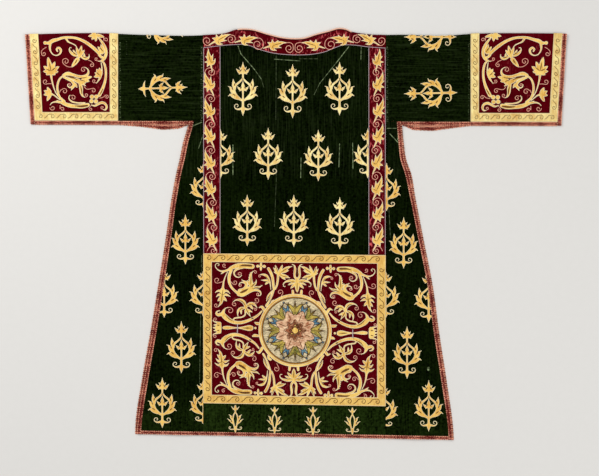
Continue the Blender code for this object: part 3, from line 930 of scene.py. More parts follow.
# Pile rubbed off beside the seams of the sleeves, stated in the same way
SEAM_WEAR = (
    (SEAM[-1] - 0.0042, 0.520, SEAM[-1] - 0.0042, 0.285, 0.0026, 0.75),
    (SEAM[1] + 0.0040, 0.520, SEAM[1] + 0.0040, 0.285, 0.0026, 0.65),
    (CUFF[-1] + 0.0046, 0.530, CUFF[-1] + 0.0046, 0.300, 0.0024, 0.65),
    (CUFF[1] - 0.0046, 0.530, CUFF[1] - 0.0046, 0.300, 0.0020, 0.40),
    (-0.3170, 0.3070, -0.2950, 0.3040, 0.0014, 0.5),
    (-0.4700, 0.5350, -0.4700, 0.4950, 0.0012, 0.4),
    (0.2640, 0.4100, 0.2840, 0.4080, 0.0010, 0.6),
)


def velvet(name, colours, light=1.0, along_x=False, worn=(), low=0.0):
    """Green velvet: pile streaks, patches of turned pile painted lighter as their sheen, and light
    lines where worn.
    """
    finish = Finish(name, roughness=0.9, specular=0.0, sheen=0.004)
    x, y, z = finish.axes()
    across, along = (y, x) if along_x else (x, y)
    streak = finish.noise(1.0, 3.0, finish.vector(across * 320.0, along * 15.0, z * 40.0))
    cross = finish.noise(1.0, 2.0, finish.vector(along * 300.0, across * 14.0, z * 40.0))
    patch = finish.noise(9.0, 3.0)
    speck = finish.noise(330.0, 2.0).step(0.56, 0.76)
    broad = finish.noise(3.2, 2.0)
    mottle = finish.noise(150.0, 2.0) - 0.5
    tone = streak * 2.3 + cross * 0.4 + patch * 0.9 + broad * 0.6 + speck * 0.9 - 1.17
    tone = (tone + mottle * 3.0) * (y.step(-0.43, -0.50) * low + 1.0)
    tone = (tone * light).math("MAXIMUM", 0.15)
    dark, lit = colours
    colour = finish.shade(dark, tone)
    if worn:
        lines = 0.0
        for x0, y0, x1, y1, half_width, strength in worn:
            dx, dy = x1 - x0, y1 - y0
            share = (((x - x0) * dx + (y - y0) * dy) / (dx * dx + dy * dy)).clamp()
            off_x, off_y = x - share * dx - x0, y - share * dy - y0
            near = (off_x * off_x + off_y * off_y) / (half_width * half_width)
            mark = (1.0 - near * 0.5).clamp()
            lines = mark * strength + lines
        broken = finish.noise(130.0, 2.0).step(0.40, 0.58) * 0.7 + 0.2
        if along_x:
            ticks = finish.vector(x * 200.0, y * 430.0, 2.0)
            broken = finish.noise(1.0, 2.0, ticks).step(0.55, 0.70)
        # Painted sheen: above about 0.16 m the turned pile is mixed a little towards the rubbed
        # colour, as its sheen
        turned = y.step(0.150, 0.166) * streak.step(0.50, 0.68) * 0.018
        colour = finish.mix((lines * broken + turned).clamp(), colour, lit)
    finish.bump(streak + cross * 0.5, 0.0006, 0.4)
    return finish.done(colour)


def crimson_velvet(name, colours, worn):
    """Crimson velvet: darker pile streaks and, where worn, pink ground that shows."""
    deep, bright, pink = colours
    finish = Finish(name, roughness=0.85, specular=0.0, sheen=0.004)
    x, y, z = finish.axes()
    streak = finish.noise(1.0, 3.0, finish.vector(x * 420.0, y * 80.0, z * 40.0))
    patch = finish.noise(22.0, 3.0)
    colour = finish.mix((streak * 0.9 + patch * 0.9 - 0.4).clamp(), deep, bright)
    marks = finish.vector(x * 230.0, y * 85.0, z * 40.0)
    rubbed = finish.noise(1.0, 3.0, marks, roughness=0.6).step(0.57 - 0.03 * worn, 0.66)
    where = finish.noise(16.0, 2.0).step(0.50 - 0.10 * worn, 0.62)
    colour = finish.mix(rubbed * where * worn, colour, pink)
    finish.bump(streak, 0.0006, 0.4)
    return finish.done(colour)


def satin(name, colours, contrast=1.0):
    """Satin: floating warp threads, a little soiled in patches."""
    light, dark = colours
    finish = Finish(name, roughness=0.5, specular=0.15)
    x, y, z = finish.axes()
    thread = finish.noise(1.0, 3.0, finish.vector(x * 460.0, y * 60.0, z * 60.0))
    soiled = finish.noise(34.0, 4.0, roughness=0.65)
    mix = (thread - 0.5) * (1.6 * contrast) + (soiled - 0.5) * (2.4 * contrast) + 0.42
    finish.bump(thread + soiled * 0.6, 0.0005, 0.6)
    return finish.done(finish.mix(mix.clamp(), light, dark))


def stitched(name, colours):
    """Embroidery in long and short stitches, with flecks of a darker thread."""
    light, dark, fleck = colours
    finish = Finish(name, roughness=0.7, specular=0.08)
    x, y, z = finish.axes()
    stitch = finish.noise(1.0, 3.0, finish.vector(x * 150.0, y * 420.0, z * 60.0), roughness=0.7)
    tint = finish.noise(60.0, 3.0)
    flecks = finish.noise(1.0, 2.0, finish.vector(x * 240.0, y * 330.0, 3.0)).step(0.60, 0.70)
    colour = finish.mix(((stitch - 0.5) * 3.0 + (tint - 0.5) * 2.0 + 0.45).clamp(), light, dark)
    finish.bump(stitch, 0.0006, 0.8)
    return finish.done(finish.mix(flecks * 0.6, colour, fleck))


def thread(name, colours):
    """Couched cord: its twist shows as a slanting pattern."""
    light, dark = colours
    finish = Finish(name, roughness=0.55, specular=0.1)
    x, y, _ = finish.axes()
    twist = (x + y * 0.7).wave(0.0016) * 0.5 + 0.5
    fleck = finish.noise(300.0, 2.0)
    colour = finish.mix((twist * 0.45 + fleck * 0.7 - 0.15).clamp(), light, dark)
    finish.bump(twist, 0.0003, 0.5)
    return finish.done(colour)


def plain_weave(name, colours):
    """Plain cloth, as the lining has it."""
    light, dark = colours
    finish = Finish(name, roughness=0.8, specular=0.1)
    x, y, _ = finish.axes()
    warp = x.wave(0.0011) * y.wave(0.0011) * 0.5 + 0.5
    soiled = finish.noise(12.0, 3.0)
    colour = finish.mix((warp * 0.3 + soiled * 0.7).clamp(), light, dark)
    finish.bump(warp, 0.0003, 0.4)
    return finish.done(colour)


def braid_cloth(name, colours, centre=0.0, one_edge=False):
    """Galloon: salmon and dark red threads woven to a speckle, with light picots.

    It reads the piece's own map: u runs from edge to edge, v along, in metres.
    With one_edge the light threads lie only where u is near 0, unbroken.
    """
    red, salmon, picot = colours
    finish = Finish(name, roughness=0.75, specular=0.05)
    lie = finish.node("UVMap", {"uv_map": "Lie"}).outputs[0]
    u, v, _ = finish.axes(lie)
    off = (u - 0.5).math("ABSOLUTE") * 2.0
    speck = finish.noise(1.0, 3.0, finish.vector(u * 3.0, v * 210.0, 0.0), roughness=0.75)
    patch = finish.noise(1.0, 2.0, finish.vector(u * 0.4, v * 26.0, 7.0))
    tone = (speck - 0.5) * 5.4 + (patch - 0.5) * 1.8 + off.step(0.25, 0.75) * 0.5 + 0.20 - centre
    colour = finish.mix(tone.clamp(), red, salmon)
    dots = v.wave(0.0059) + (patch - 0.5) * 3.0
    light = off.step(0.45, 0.80) * dots.step(0.15, 0.75) * 0.75
    if one_edge:
        light = u.step(0.62, 0.42) * (speck.step(0.2, 0.6) * 0.5 + 0.5)
    colour = finish.mix(light, colour, picot)
    finish.bump(speck + v.wave(0.0028) * 0.3, 0.0006, 0.8)
    return finish.done(colour)


# Settings

def colour_setting(name, note, red, green, blue):
    """A colour property, its default given as 0 to 255 values."""
    return FloatVectorProperty(name=name, description=note, subtype="COLOR", size=4, min=0.0,
                               max=1.0, default=linear(red, green, blue))


class DalmaticSizes(bpy.types.PropertyGroup):
    """Sizes of what the dressing adds."""

    cell: FloatProperty(name="Cell", description="Size of a velvet panel's cells",
                        default=0.0065, min=0.003, max=0.03, unit="LENGTH")
    satin: FloatProperty(name="Satin", description="How far satin ornaments stand up",
                         default=0.0006, min=0.0002, max=0.002, unit="LENGTH")
    tendril: FloatProperty(name="Tendril", description="Thickness of the tendrils",
                           default=0.0017, min=0.0004, max=0.005, unit="LENGTH")
    wave: FloatProperty(name="Border cord", description="Thickness of the borders' wave cord",
                        default=0.0020, min=0.0004, max=0.004, unit="LENGTH")


class DalmaticColours(bpy.types.PropertyGroup):
    """Colours of the cloths and threads."""

    green: colour_setting("Green velvet", "Pile of the velvet", 10, 18, 3)
    # Rubbed velvet is also the colour of the painted sheen on the turned pile
    green_lit: colour_setting("Rubbed velvet", "Where the pile is worn", 150, 168, 122)
    crimson: colour_setting("Crimson", "Pile of the crimson velvet", 98, 4, 14)
    crimson_deep: colour_setting("Deep crimson", "Shaded crimson pile", 54, 1, 7)
    crimson_worn: colour_setting("Worn crimson", "Ground under worn pile", 222, 96, 98)
    yellow: colour_setting("Yellow satin", "Satin of the ornaments", 248, 212, 118)
    yellow_dark: colour_setting("Soiled satin", "Darker patches of the satin", 216, 160, 68)
    yellow_gold: colour_setting("Gold satin", "Satin of the bands' leaves", 246, 202, 108)
    yellow_pale: colour_setting("Pale satin", "Satin of the front's motifs", 254, 238, 164)
    border: colour_setting("Border satin", "Satin of the borders", 246, 208, 118)
    border_dark: colour_setting("Soiled border", "Darker patches of the borders", 204, 148, 60)
    cream: colour_setting("Cream cord", "Cord round the ornaments", 255, 244, 206)
    cream_dark: colour_setting("Cream shade", "Shaded twist of the cord", 228, 200, 138)
    rose: colour_setting("Rose cord", "Cord of the tendrils", 255, 202, 174)
    rose_dark: colour_setting("Rose shade", "Shaded twist of the tendrils", 236, 140, 116)
    brown: colour_setting("Brown", "Hollows and veins of the ornaments", 118, 70, 24)
    brown_dark: colour_setting("Dark brown", "Ring and wave cords", 74, 42, 14)
    salmon: colour_setting("Salmon", "Light threads of the galloon", 222, 134, 108)
    braid_red: colour_setting("Braid red", "Dark threads of the galloon", 92, 24, 22)
    picot: colour_setting("Picot", "Light dots of the galloon", 252, 200, 164)
    lavender: colour_setting("Grey cord", "Cord along the bands", 208, 194, 200)
    lavender_dark: colour_setting("Grey shade", "Shaded twist of the grey cord", 168, 146, 146)
    linen: colour_setting("Lining", "Linen of the lining", 176, 140, 112)
    ground: colour_setting("Roundel ground", "Ground of the roundel", 236, 216, 172)
    ground_dark: colour_setting("Shaded ground", "Darker stitches of the ground", 138, 126, 98)
    petal: colour_setting("Petal", "Petals of the roundel", 250, 212, 170)
    petal_dark: colour_setting("Petal shade", "Shaded petals of the roundel", 164, 96, 64)
    leaf: colour_setting("Leaf", "Leaves of the roundel", 206, 178, 84)
    leaf_dark: colour_setting("Leaf shade", "Shaded leaves of the roundel", 78, 90, 42)
    blue: colour_setting("Blue", "Blue leaves of the roundel", 104, 146, 160)
    blue_dark: colour_setting("Deep blue", "Shaded blue leaves", 24, 60, 94)


GREEN, CRIMSON = "green green_lit", "crimson_deep crimson crimson_worn"
BRAID = "braid_red salmon picot"

# Each finish: its maker, the names of its colours, and the maker's other settings
FINISHES = {
    "Velvet": (velvet, GREEN, {"worn": WORN_LINES}),
    "Velvet_side": (velvet, GREEN, {"worn": WORN_LINES, "low": 1.0}),
    "Velvet_sleeve": (velvet, GREEN, {"light": 1.3, "along_x": True, "worn": SEAM_WEAR}),
    "Velvet_hem": (velvet, GREEN, {"light": 3.1}),
    "Crimson": (crimson_velvet, CRIMSON, {"worn": 0.15}),
    "Crimson_band": (crimson_velvet, CRIMSON, {"worn": 0.95}),
    "Satin": (satin, "yellow yellow_dark", {"contrast": 1.2}),
    "Satin_gold": (satin, "yellow_gold yellow_dark", {}),
    "Satin_pale": (satin, "yellow_pale yellow_dark", {}),
    "Border": (satin, "border border_dark", {"contrast": 0.8}),
    "Border_cuff": (satin, "yellow_pale border_dark", {"contrast": 0.7}),
    "Hollow": (satin, "brown brown_dark", {}),
    "Cream_cord": (thread, "cream cream_dark", {}),
    "Rose_cord": (thread, "rose rose_dark", {}),
    "Tan_cord": (thread, "border_dark brown", {}),
    "Brown_cord": (thread, "brown brown_dark", {}),
    "Grey_cord": (thread, "lavender lavender_dark", {}),
    "Dark_cord": (thread, "brown_dark crimson_deep", {}),
    "Galloon": (braid_cloth, BRAID, {"centre": 0.20}),
    "Galloon_side": (braid_cloth, BRAID, {"centre": 0.25}),
    "Galloon_neck": (braid_cloth, "crimson_deep braid_red rose",
                     {"centre": 0.2, "one_edge": True}),
    "Lining": (plain_weave, "linen rose_dark", {}),
    "Ground": (stitched, "ground ground_dark brown_dark", {}),
    "Petal": (stitched, "petal petal_dark brown_dark", {}),
    "Petal_deep": (stitched, "petal_dark brown_dark petal", {}),
    "Leaf": (stitched, "leaf leaf_dark brown_dark", {}),
    "Blue_leaf": (stitched, "blue blue_dark ground", {}),
}


def cloth_of(name):
    """The material of that name, made when first asked for."""
    found = bpy.data.materials.get(name)
    if found:
        return found
    maker, colours, settings = FINISHES[name]
    chosen = bpy.context.scene.dalmatic_colours
    return maker(name, [getattr(chosen, colour) for colour in colours.split()], **settings)


def hand_over(piece, slot, *nodes):
    """The piece rides with the garment and hides the nodes that it stands for; slot is not used.
    """
    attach(piece, "root")
    if nodes:
        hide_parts(*nodes)


# Panels

GORE_WIDTH = 0.17
NECK_EASE = 0.004           # run in which the panel steps down to the neck braid


def panel_top(x):
    """Top edge of the middle panel, lower where the neck's braid lies on its edge."""
    into = np.minimum(x - NECK_LEFT, NECK_RIGHT - x)
    return top_edge(x) - (GALLOON_NECK + SEAM_GAP) * np.clip(into / NECK_EASE, 0.0, 1.0)


def rows_between(x, low, high, cell):
    """Net with rows spread evenly from low(x) to high(x)."""
    low, high = np.broadcast_to(low, x.shape), np.broadcast_to(high, x.shape)
    share = steps_between(0.0, 1.0, cell / float(np.max(high - low)))
    y = low[:, None] + (high - low)[:, None] * share
    return net(x[:, None], y)


def net_area(x, y):
    """Area of a net's cut."""
    return abs(signed_area(*(np.concatenate([v[:, 0], v[-1, :], v[::-1, -1], v[0, ::-1]])
                             for v in (x, y))))


def lay_panel(name, x, y, base, wall, finish, slot, node, inner=None):
    """Make a flat cloth on its net and work out its cut's width, length and area, which are not
    kept.
    """
    materials = [cloth_of(finish)] + ([cloth_of("Lining")] if inner else [])
    piece = flat_cloth(name, x, y, base, wall, materials, inner)
    hand_over(piece, slot, node)
    width, length = float(np.ptp(x)), float(np.ptp(y))
    min(net_area(x, y), width * length)


def gore_net(hand, layer, cell):
    """Net of a side gore, from the middle panel's seam to the side braid."""
    y = steps_between(HEM_FOOT, SLEEVE_BRAID - SEAM_GAP, cell)
    edge = side(hand, y, layer) - hand * (GALLOON + SEAM_GAP)
    share = steps_between(0.0, 1.0, cell / GORE_WIDTH)[:, None]
    x = BODY_SEAM[hand] + (edge - BODY_SEAM[hand]) * share
    return net(x[::hand], y[None, :])


class DALMATIC_OT_panels(bpy.types.Operator):
    """Make the green velvet panels of the body, front and back"""

    bl_idname = "dalmatic.panels"
    bl_label = "Body panels"

    def execute(self, context):
        cell = context.scene.dalmatic_sizes.cell
        across = steps_between(LEFT, RIGHT, cell)
        x, y = rows_between(across, APPAREL_LOW, panel_top(across), cell)
        lay_panel("Front_middle", x, y, front_base, CLOTH, "Velvet", "green_velvet",
                  "front_panel", "low")
        x, y = rows_between(across, HEM_FOOT, APPAREL_LOW - SEAM_GAP, cell)
        lay_panel("Front_hem", x, y, front_base, CLOTH, "Velvet_hem", "green_velvet_worn",
                  "hem_panel", "low")
        x, y = rows_between(across, HEM_FOOT, panel_top(across), 3 * cell)
        lay_panel("Back_middle", x, y, floor_base, CLOTH, "Velvet", "green_velvet",
                  "back_panel", "high")
        for hand, word in HANDS:
            x, y = gore_net(hand, "front", cell)
            lay_panel(f"Front_gore_{word}", x, y, front_base, CLOTH, "Velvet_side",
                      "green_velvet", f"front_gore_{word}", "low")
            x, y = gore_net(hand, "back", 2 * cell)
            lay_panel(f"Back_gore_{word}", x, y, floor_base, CLOTH, "Velvet_side",
                      "green_velvet", f"back_gore_{word}", "high")
        return {"FINISHED"}


def sleeve_columns(hand, cell):
    """Places along a sleeve from the middle panel's seam out to the cuff's seam."""
    free = float(side(hand, SLEEVE_BRAID, "back")) + hand * SEAM_GAP
    return np.sort(steps_through(cell, BODY_SEAM[hand], free, CUFF[hand] - hand * HALF_GAP))


class DALMATIC_OT_sleeves(bpy.types.Operator):
    """Make the folded velvet sleeves and the crimson cuffs"""

    bl_idname = "dalmatic.sleeves"
    bl_label = "Sleeves and cuffs"

    def execute(self, context):
        cell = context.scene.dalmatic_sizes.cell
        for hand, word in HANDS:
            self.cloth(hand, sleeve_columns(hand, cell), "Velvet_sleeve",
                       f"Sleeve_cloth_{word}", "green_velvet", f"sleeve_{word}", cell)
            cuff = np.sort(steps_between(CUFF_START[hand], hand * CUFF_END, cell))
            self.cloth(hand, cuff, "Crimson", f"Cuff_cloth_{word}", "crimson_velvet",
                       f"cuff_{word}", cell)
        return {"FINISHED"}

    def cloth(self, hand, x, finish, name, slot, node, cell):
        """One folded cloth; its length round the fold is worked out but not kept."""
        low = sleeve_low(x, "front") + GALLOON_SLEEVE + SEAM_GAP
        back_low = sleeve_low(x, "back") + GALLOON_SLEEVE + SEAM_GAP
        piece = folded_cloth(name, hand, x, low, back_low, finish, cell)
        hand_over(piece, slot, node)
        length = 2 * (float(np.mean(top_edge(x))) - SLEEVE_BRAID)


def on_panel(x, y):
    """Surface on which the bands lie."""
    return front_base(x, y) + CLOTH + SEAM_GAP


def on_field(x, y):
    """Surface on which the apparel's border lies."""
    return on_panel(x, y) + BAND_CLOTH + SEAM_GAP


class DALMATIC_OT_bands(bpy.types.Operator):
    """Make the crimson neck band, the two upright bands and the apparel's field"""

    bl_idname = "dalmatic.bands"
    bl_label = "Crimson bands"

    def execute(self, context):
        cell = 0.8 * context.scene.dalmatic_sizes.cell
        across = steps_between(LEFT, RIGHT, cell)
        x, y = rows_between(across, band_low(across), panel_top(across), cell)
        self.band("Neck_orphrey", x, y, "Crimson_band", "neck_band")
        for word, start in (("left", LEFT), ("right", SEAM[1] - BAND_WIDTH)):
            across = steps_between(start, start + BAND_WIDTH - HALF_GAP, cell)
            x, y = rows_between(across, APPAREL_TOP + HALF_GAP, band_low(across) - SEAM_GAP,
                                cell)
            self.band(f"Orphrey_{word}", x, y, "Crimson_band", f"clavus_{word}")
        cell = context.scene.dalmatic_sizes.cell
        across = steps_between(LEFT, RIGHT, cell)
        x, y = rows_between(across, APPAREL_LOW, APPAREL_TOP - HALF_GAP, cell)
        self.band("Apparel_cloth", x, y, "Crimson", "apparel_field")
        return {"FINISHED"}

    def band(self, name, x, y, finish, node):
        """One crimson cloth on the front panel."""
        lay_panel(name, x, y, on_panel, BAND_CLOTH, finish, "crimson_velvet", node)


FOOT_ROWS, CUFF_HEIGHT = 5, 0.21


class DALMATIC_OT_borders(bpy.types.Operator):
    """Make the yellow satin borders of the apparel and the cuffs"""

    bl_idname = "dalmatic.borders"
    bl_label = "Yellow borders"

    def execute(self, context):
        cell = 0.8 * context.scene.dalmatic_sizes.cell
        yellow = [cloth_of("Border")]
        across = steps_through(cell, LEFT, SEAM[-1] + BORDER, SEAM[1] - BORDER, RIGHT)
        along = steps_through(cell, APPAREL_LOW, APPAREL_LOW + BORDER, APPAREL_TOP - BORDER,
                              APPAREL_TOP - HALF_GAP)
        x, y = net(across[:, None], along[None, :])
        mid_x, mid_y = (x[:-1, :-1] + x[1:, 1:]) / 2, (y[:-1, :-1] + y[1:, 1:]) / 2
        keep = ((mid_x < SEAM[-1] + BORDER) | (mid_x > SEAM[1] - BORDER)
                | (mid_y < APPAREL_LOW + BORDER) | (mid_y > APPAREL_TOP - BORDER))
        piece = flat_cloth("Apparel_edging", x, y, on_field, SATIN, yellow, keep=keep)
        hand_over(piece, "yellow_satin", "apparel_border")
        width, length = float(np.ptp(x)), float(np.ptp(y))

        for hand, word in HANDS:
            piece = cuff_border(f"Cuff_edging_{word}", hand, cell, [cloth_of("Border_cuff")])
            hand_over(piece, "yellow_satin", f"cuff_border_{word}")
        return {"FINISHED"}


def cuff_border(name, hand, cell, materials):
    """Yellow border of a cuff: two uprights that end on the fold, joined below."""
    cuff, end, low = CUFF_START[hand], hand * CUFF_END, SLEEVE_FOOT
    x = np.sort(steps_through(cell, end, end - hand * BORDER, cuff + hand * BORDER, cuff))
    radius, centre = fold_shape(x)
    foot = low + BORDER * np.linspace(0, 1, FOOT_ROWS + 1)[None, :]
    share = steps_between(0.0, 1.0, cell / CUFF_HEIGHT)[1:]
    climb = low + BORDER + (centre - low - BORDER)[:, None] * share
    turn = centre[:, None] + radius[:, None] * np.linspace(0, 0.45 * math.pi, 6)[1:]
    reach = np.concatenate([np.repeat(foot, len(x), axis=0), climb, turn], axis=1)
    across = np.repeat(x[:, None], reach.shape[1], axis=1)
    middle = (across[:-1, :-1] + across[1:, 1:]) / 2
    row = np.broadcast_to(np.arange(reach.shape[1] - 1), middle.shape)
    field = (np.abs(middle - cuff) > BORDER) & (np.abs(middle - end) > BORDER)
    faces = grid_faces(*across.shape)[~(field & (row >= FOOT_ROWS)).ravel()]
    out = CLOTH / 2 + SEAM_GAP
    piece = shell(name, *folded_sides(hand, across, reach, out + SATIN, out), faces, materials)
    width, length = float(np.ptp(x)), float(np.mean(centre) - low)
    return piece


# Galloon

RIB = np.array([0.0, 0.10, 0.28, 0.50, 0.72, 0.90, 1.0])
RISE = np.array([0.45, 0.95, 0.70, 0.85, 0.70, 0.95, 0.45])
NECK_END = 0.002            # how far the neck braid stops short of the neck band
END_MIDDLE = 0.745          # middle of the end braids, across


def braid(name, low_edge, high_edge, along, base, wall, finish="Galloon"):
    """A woven braid between two edges, its profile ribbed, its rim of small picots.

    low_edge and high_edge are (x, y) arrays along the braid; the profile crosses
    from the first to the second.
    """
    nub = 0.0005 * np.cos(np.arange(len(along)) * math.pi)
    (x0, y0), (x1, y1) = low_edge, high_edge
    width = np.hypot(x1 - x0, y1 - y0)
    share = RIB[None, :] + (nub / width)[:, None] * np.where(RIB < 0.05, 1.0, 0.0)
    x = x0[:, None] + (x1 - x0)[:, None] * share
    y = y0[:, None] + (y1 - y0)[:, None] * share
    low = base(x, y)
    high = low + wall * RISE + 0.06 * wall * np.cos(np.arange(len(along)) * math.pi)[:, None]
    laid_y = askew(x, y)
    uv = stacked(*(values * np.ones_like(x) for values in (RIB[None, :], along[:, None])))
    faces = grid_faces(*x.shape)
    first = np.array([x[1, 0] - x[0, 0], laid_y[1, 0] - laid_y[0, 0]])
    second = np.array([x[0, 1] - x[0, 0], laid_y[0, 1] - laid_y[0, 0]])
    if first[0] * second[1] - first[1] * second[0] < 0:
        faces = faces[:, ::-1]
    return shell(name, stacked(x, laid_y, high), stacked(x, laid_y, low), faces,
                 [cloth_of(finish)], uv=uv)


class DALMATIC_OT_galloon(bpy.types.Operator):
    """Make the galloon round the sides, hem, sleeves and neck"""

    bl_idname = "dalmatic.galloon"
    bl_label = "Galloon"

    def execute(self, context):
        for layer, base, wall, roll, pitch in (
                ("front", front_base, GALLOON_WALL, NECK_ROLL, BRAID_STEP),
                ("back", floor_base, CLOTH, CLOTH, 2 * BRAID_STEP)):
            for hand, word in HANDS:
                y = steps_between(HEM, SLEEVE_BRAID, pitch)
                edge = side(hand, y, layer)
                piece = self.braid(layer, "side", f"_{word}", (edge, y),
                                   (edge - hand * GALLOON, y), y, base, wall, "Galloon_side")
                float(run_length(edge, y)[-1])

                start, start_high = (float(side(hand, y, layer))
                                     for y in (SLEEVE_LOW, SLEEVE_BRAID))
                x = steps_through(pitch, start + hand * SEAM_GAP, CUFF[hand],
                                  hand * (CUFF_END - END_SLANT))
                x_high = x + (start_high - start) * (x == x[0])
                low = sleeve_low(x, layer)
                piece = self.braid(layer, "sleeve", f"_{word}", (x, low),
                                   (x_high, low + GALLOON_SLEEVE), hand * x, base, wall)

            ends, ends_high = ([float(side(hand, y, layer)) - hand * (GALLOON + SEAM_GAP)
                                for hand, _ in HANDS] for y in (HEM, HEM + GALLOON_SLEEVE))
            x = steps_between(*ends, pitch)
            piece = self.braid(layer, "hem", "", (x, HEM + 0 * x),
                               (np.linspace(*ends_high, len(x)), HEM + GALLOON_SLEEVE + 0 * x),
                               x, base, wall)

            x = steps_between(NECK_LEFT + NECK_END, NECK_RIGHT - NECK_END, 0.8 * pitch)
            self.braid(layer, "neck", "", (x, top_edge(x)), (x, top_edge(x) - GALLOON_NECK), x,
                       base, roll, "Galloon_neck")

        for hand, word in HANDS:
            x = np.sort(hand * (HALF_SPAN - GALLOON_END * RIB))
            low = np.full_like(x, SLEEVE_LOW)
            piece = folded_cloth(f"Braid_end_{word}", hand, x, low, low, "Galloon", BRAID_STEP,
                                 uv_across=RIB[::-hand])
            hand_over(piece, "galloon", f"end_galloon_{word}")
            2 * (float(top_edge(hand * END_MIDDLE)) - SLEEVE_LOW)
        return {"FINISHED"}

    def braid(self, layer, where, hand, *shape):
        """One length of braid, handed over; the rest of its values say its shape."""
        piece = braid(f"{layer.title()}_braid_{where}{hand}", *shape)
        hand_over(piece, "galloon", f"{layer}_{where}_galloon{hand}")
        return piece


# Leaves of the green velvet

MOTIF_LENGTH, TAIL_START, SMALL_LENGTH = 53.6, 38.3, 27.5
THIN_CORD = 0.0013     # cord round the velvet's motifs
NECK_CLEAR = 0.49      # height that the motifs stay under

# Motifs on the body: place across, tip height, length
FRONT_MOTIFS = (
    (-0.1472, 0.4767, 53.6), (-0.0094, 0.4708, 53.7), (0.1208, 0.4769, 53.0),
    (-0.2097, 0.2917, 49.8), (-0.0772, 0.2944, 51.7), (0.0619, 0.2889, 51.0),
    (0.1992, 0.2925, 49.3),
    (-0.1353, 0.1083, 51.1), (-0.0061, 0.1083, 51.7), (0.1214, 0.1019, 51.5),
)
GORE_MOTIFS = {
    -1: ((-0.2556, 0.2011, 48.0), (-0.3068, 0.0533, 49.6), (-0.3656, -0.0961, 49.1),
         (-0.2561, -0.0961, 49.4), (-0.3180, -0.2422, 51.9), (-0.3708, -0.3989, 50.2),
         (-0.2569, -0.4019, 46.3)),
    1: ((0.2514, 0.1972, 47.7), (0.2986, 0.0461, 50.5), (0.2486, -0.1000, 48.4),
        (0.3681, -0.1039, 50.5), (0.3081, -0.2569, 51.5), (0.3681, -0.4058, 50.5),
        (0.2444, -0.4156, 45.6)),
}
HEM_MOTIFS = ((-0.1683, -0.4733, 27.4), (-0.0594, -0.4778, 26.8), (0.0472, -0.4783, 28.2),
              (0.1564, -0.4806, 26.7))

# Motifs on the sleeves: finial's place and height, length, turn and tail
SLEEVE_MOTIFS = {
    -1: ((-0.3011, 0.4072, 51.0, 87.9, "leaves"), (-0.2971, 0.5643, 46.0, 90.0, "volutes")),
    1: ((0.2997, 0.3889, 53.0, -91.3, "volutes"), (0.3000, 0.5465, 52.0, -90.0, "volutes")),
}


def great_motif(x, y, length, turn=0.0, tail="volutes"):
    """The velvet's motif: a finial, two flame arms round a bud, volutes and a drop."""
    scale = 0.5 + 0.5 * length / MOTIF_LENGTH
    shape = Figure(x, float(straight(x, y)), DRAWN * scale, turn)
    shorten = (length / scale - TAIL_START) / (MOTIF_LENGTH - TAIL_START)

    def tail_line(*knots):
        shape.stroke(*[(across, TAIL_START + (down - TAIL_START) * shorten, width)
                       for across, down, width in knots])

    shape.trefoil(0, 1.0)
    shape.stroke((0, 10.5, 2.4), (0, 13.4, 1.9), (0, 16.8, 2.2))
    shape.trefoil(18.4, 0.87, shoulders=False)
    shape.stroke((0, 28, 2.2), (0, 33, 1.8), (0, 38, 2.4))
    for _ in shape.both():
        shape.stroke((0, 16.2, 1.8), (2.6, 19.1, 2.0), (7.0, 23.1, 2.3), (8.9, 28.0, 2.9),
                     (7.8, 32.2, 3.4), (4.4, 35.9, 2.9), (1.0, 38.3, 2.2))
        shape.stroke((8.3, 26.4, 3.0), (8.9, 22.8, 4.3), (9.5, 20.0, 2.6), (9.8, 16.9, 0.1))
        shape.stroke((8.6, 31.6, 3.2), (10.2, 28.8, 4.9), (11.8, 26.4, 3.3), (12.9, 25.0, 1.5),
                     (14.9, 24.2, 0.1))
        shape.stroke((3.4, 36.9, 2.4), (6.8, 35.3, 4.1), (10.0, 33.5, 4.3), (12.4, 32.6, 2.4),
                     (14.7, 34.0, 0.1))
        shape.hollow((7.9, 20.9, 0.4), (8.3, 22.3, 1.1), (8.7, 23.9, 0.3))
        shape.hollow((10.9, 25.0, 0.3), (10.4, 26.6, 1.0), (9.7, 28.2, 0.3))
        shape.hollow((10.4, 31.6, 0.3), (8.9, 32.5, 1.0), (7.5, 33.8, 0.3))
        if tail == "volutes":
            tail_line((0.8, 46.2, 2.6), (3.6, 47.1, 2.1), (6.0, 47.1, 1.5), (8.0, 45.8, 1.1),
                      (8.4, 43.8, 1.0), (7.0, 42.1, 0.9), (5.2, 42.4, 0.9), (4.8, 44.0, 0.9),
                      (5.9, 44.9, 0.8))
        else:
            tail_line((0.8, 45.4, 3.0), (3.4, 45.0, 2.2), (5.8, 44.6, 1.6), (8.1, 43.4, 0.1))
    shape.hollow((0, 15.8, 0.3), (0, 17.2, 0.8), (0, 18.6, 0.3))
    if tail == "volutes":
        tail_line((0, 37.6, 2.8), (0, 41.0, 2.4), (0, 44.0, 2.6), (0, 46.6, 4.0))
        tail_line((0, 45.0, 2.6), (0, 47.6, 4.2), (0, 50.4, 2.6), (0, 53.6, 0.1))
    else:
        tail_line((0, 37.6, 2.6), (0, 40.6, 2.0), (0, 43.2, 2.6), (0, 45.8, 4.9), (0, 48.4, 3.2),
                  (0, 51.2, 0.3))
    return shape


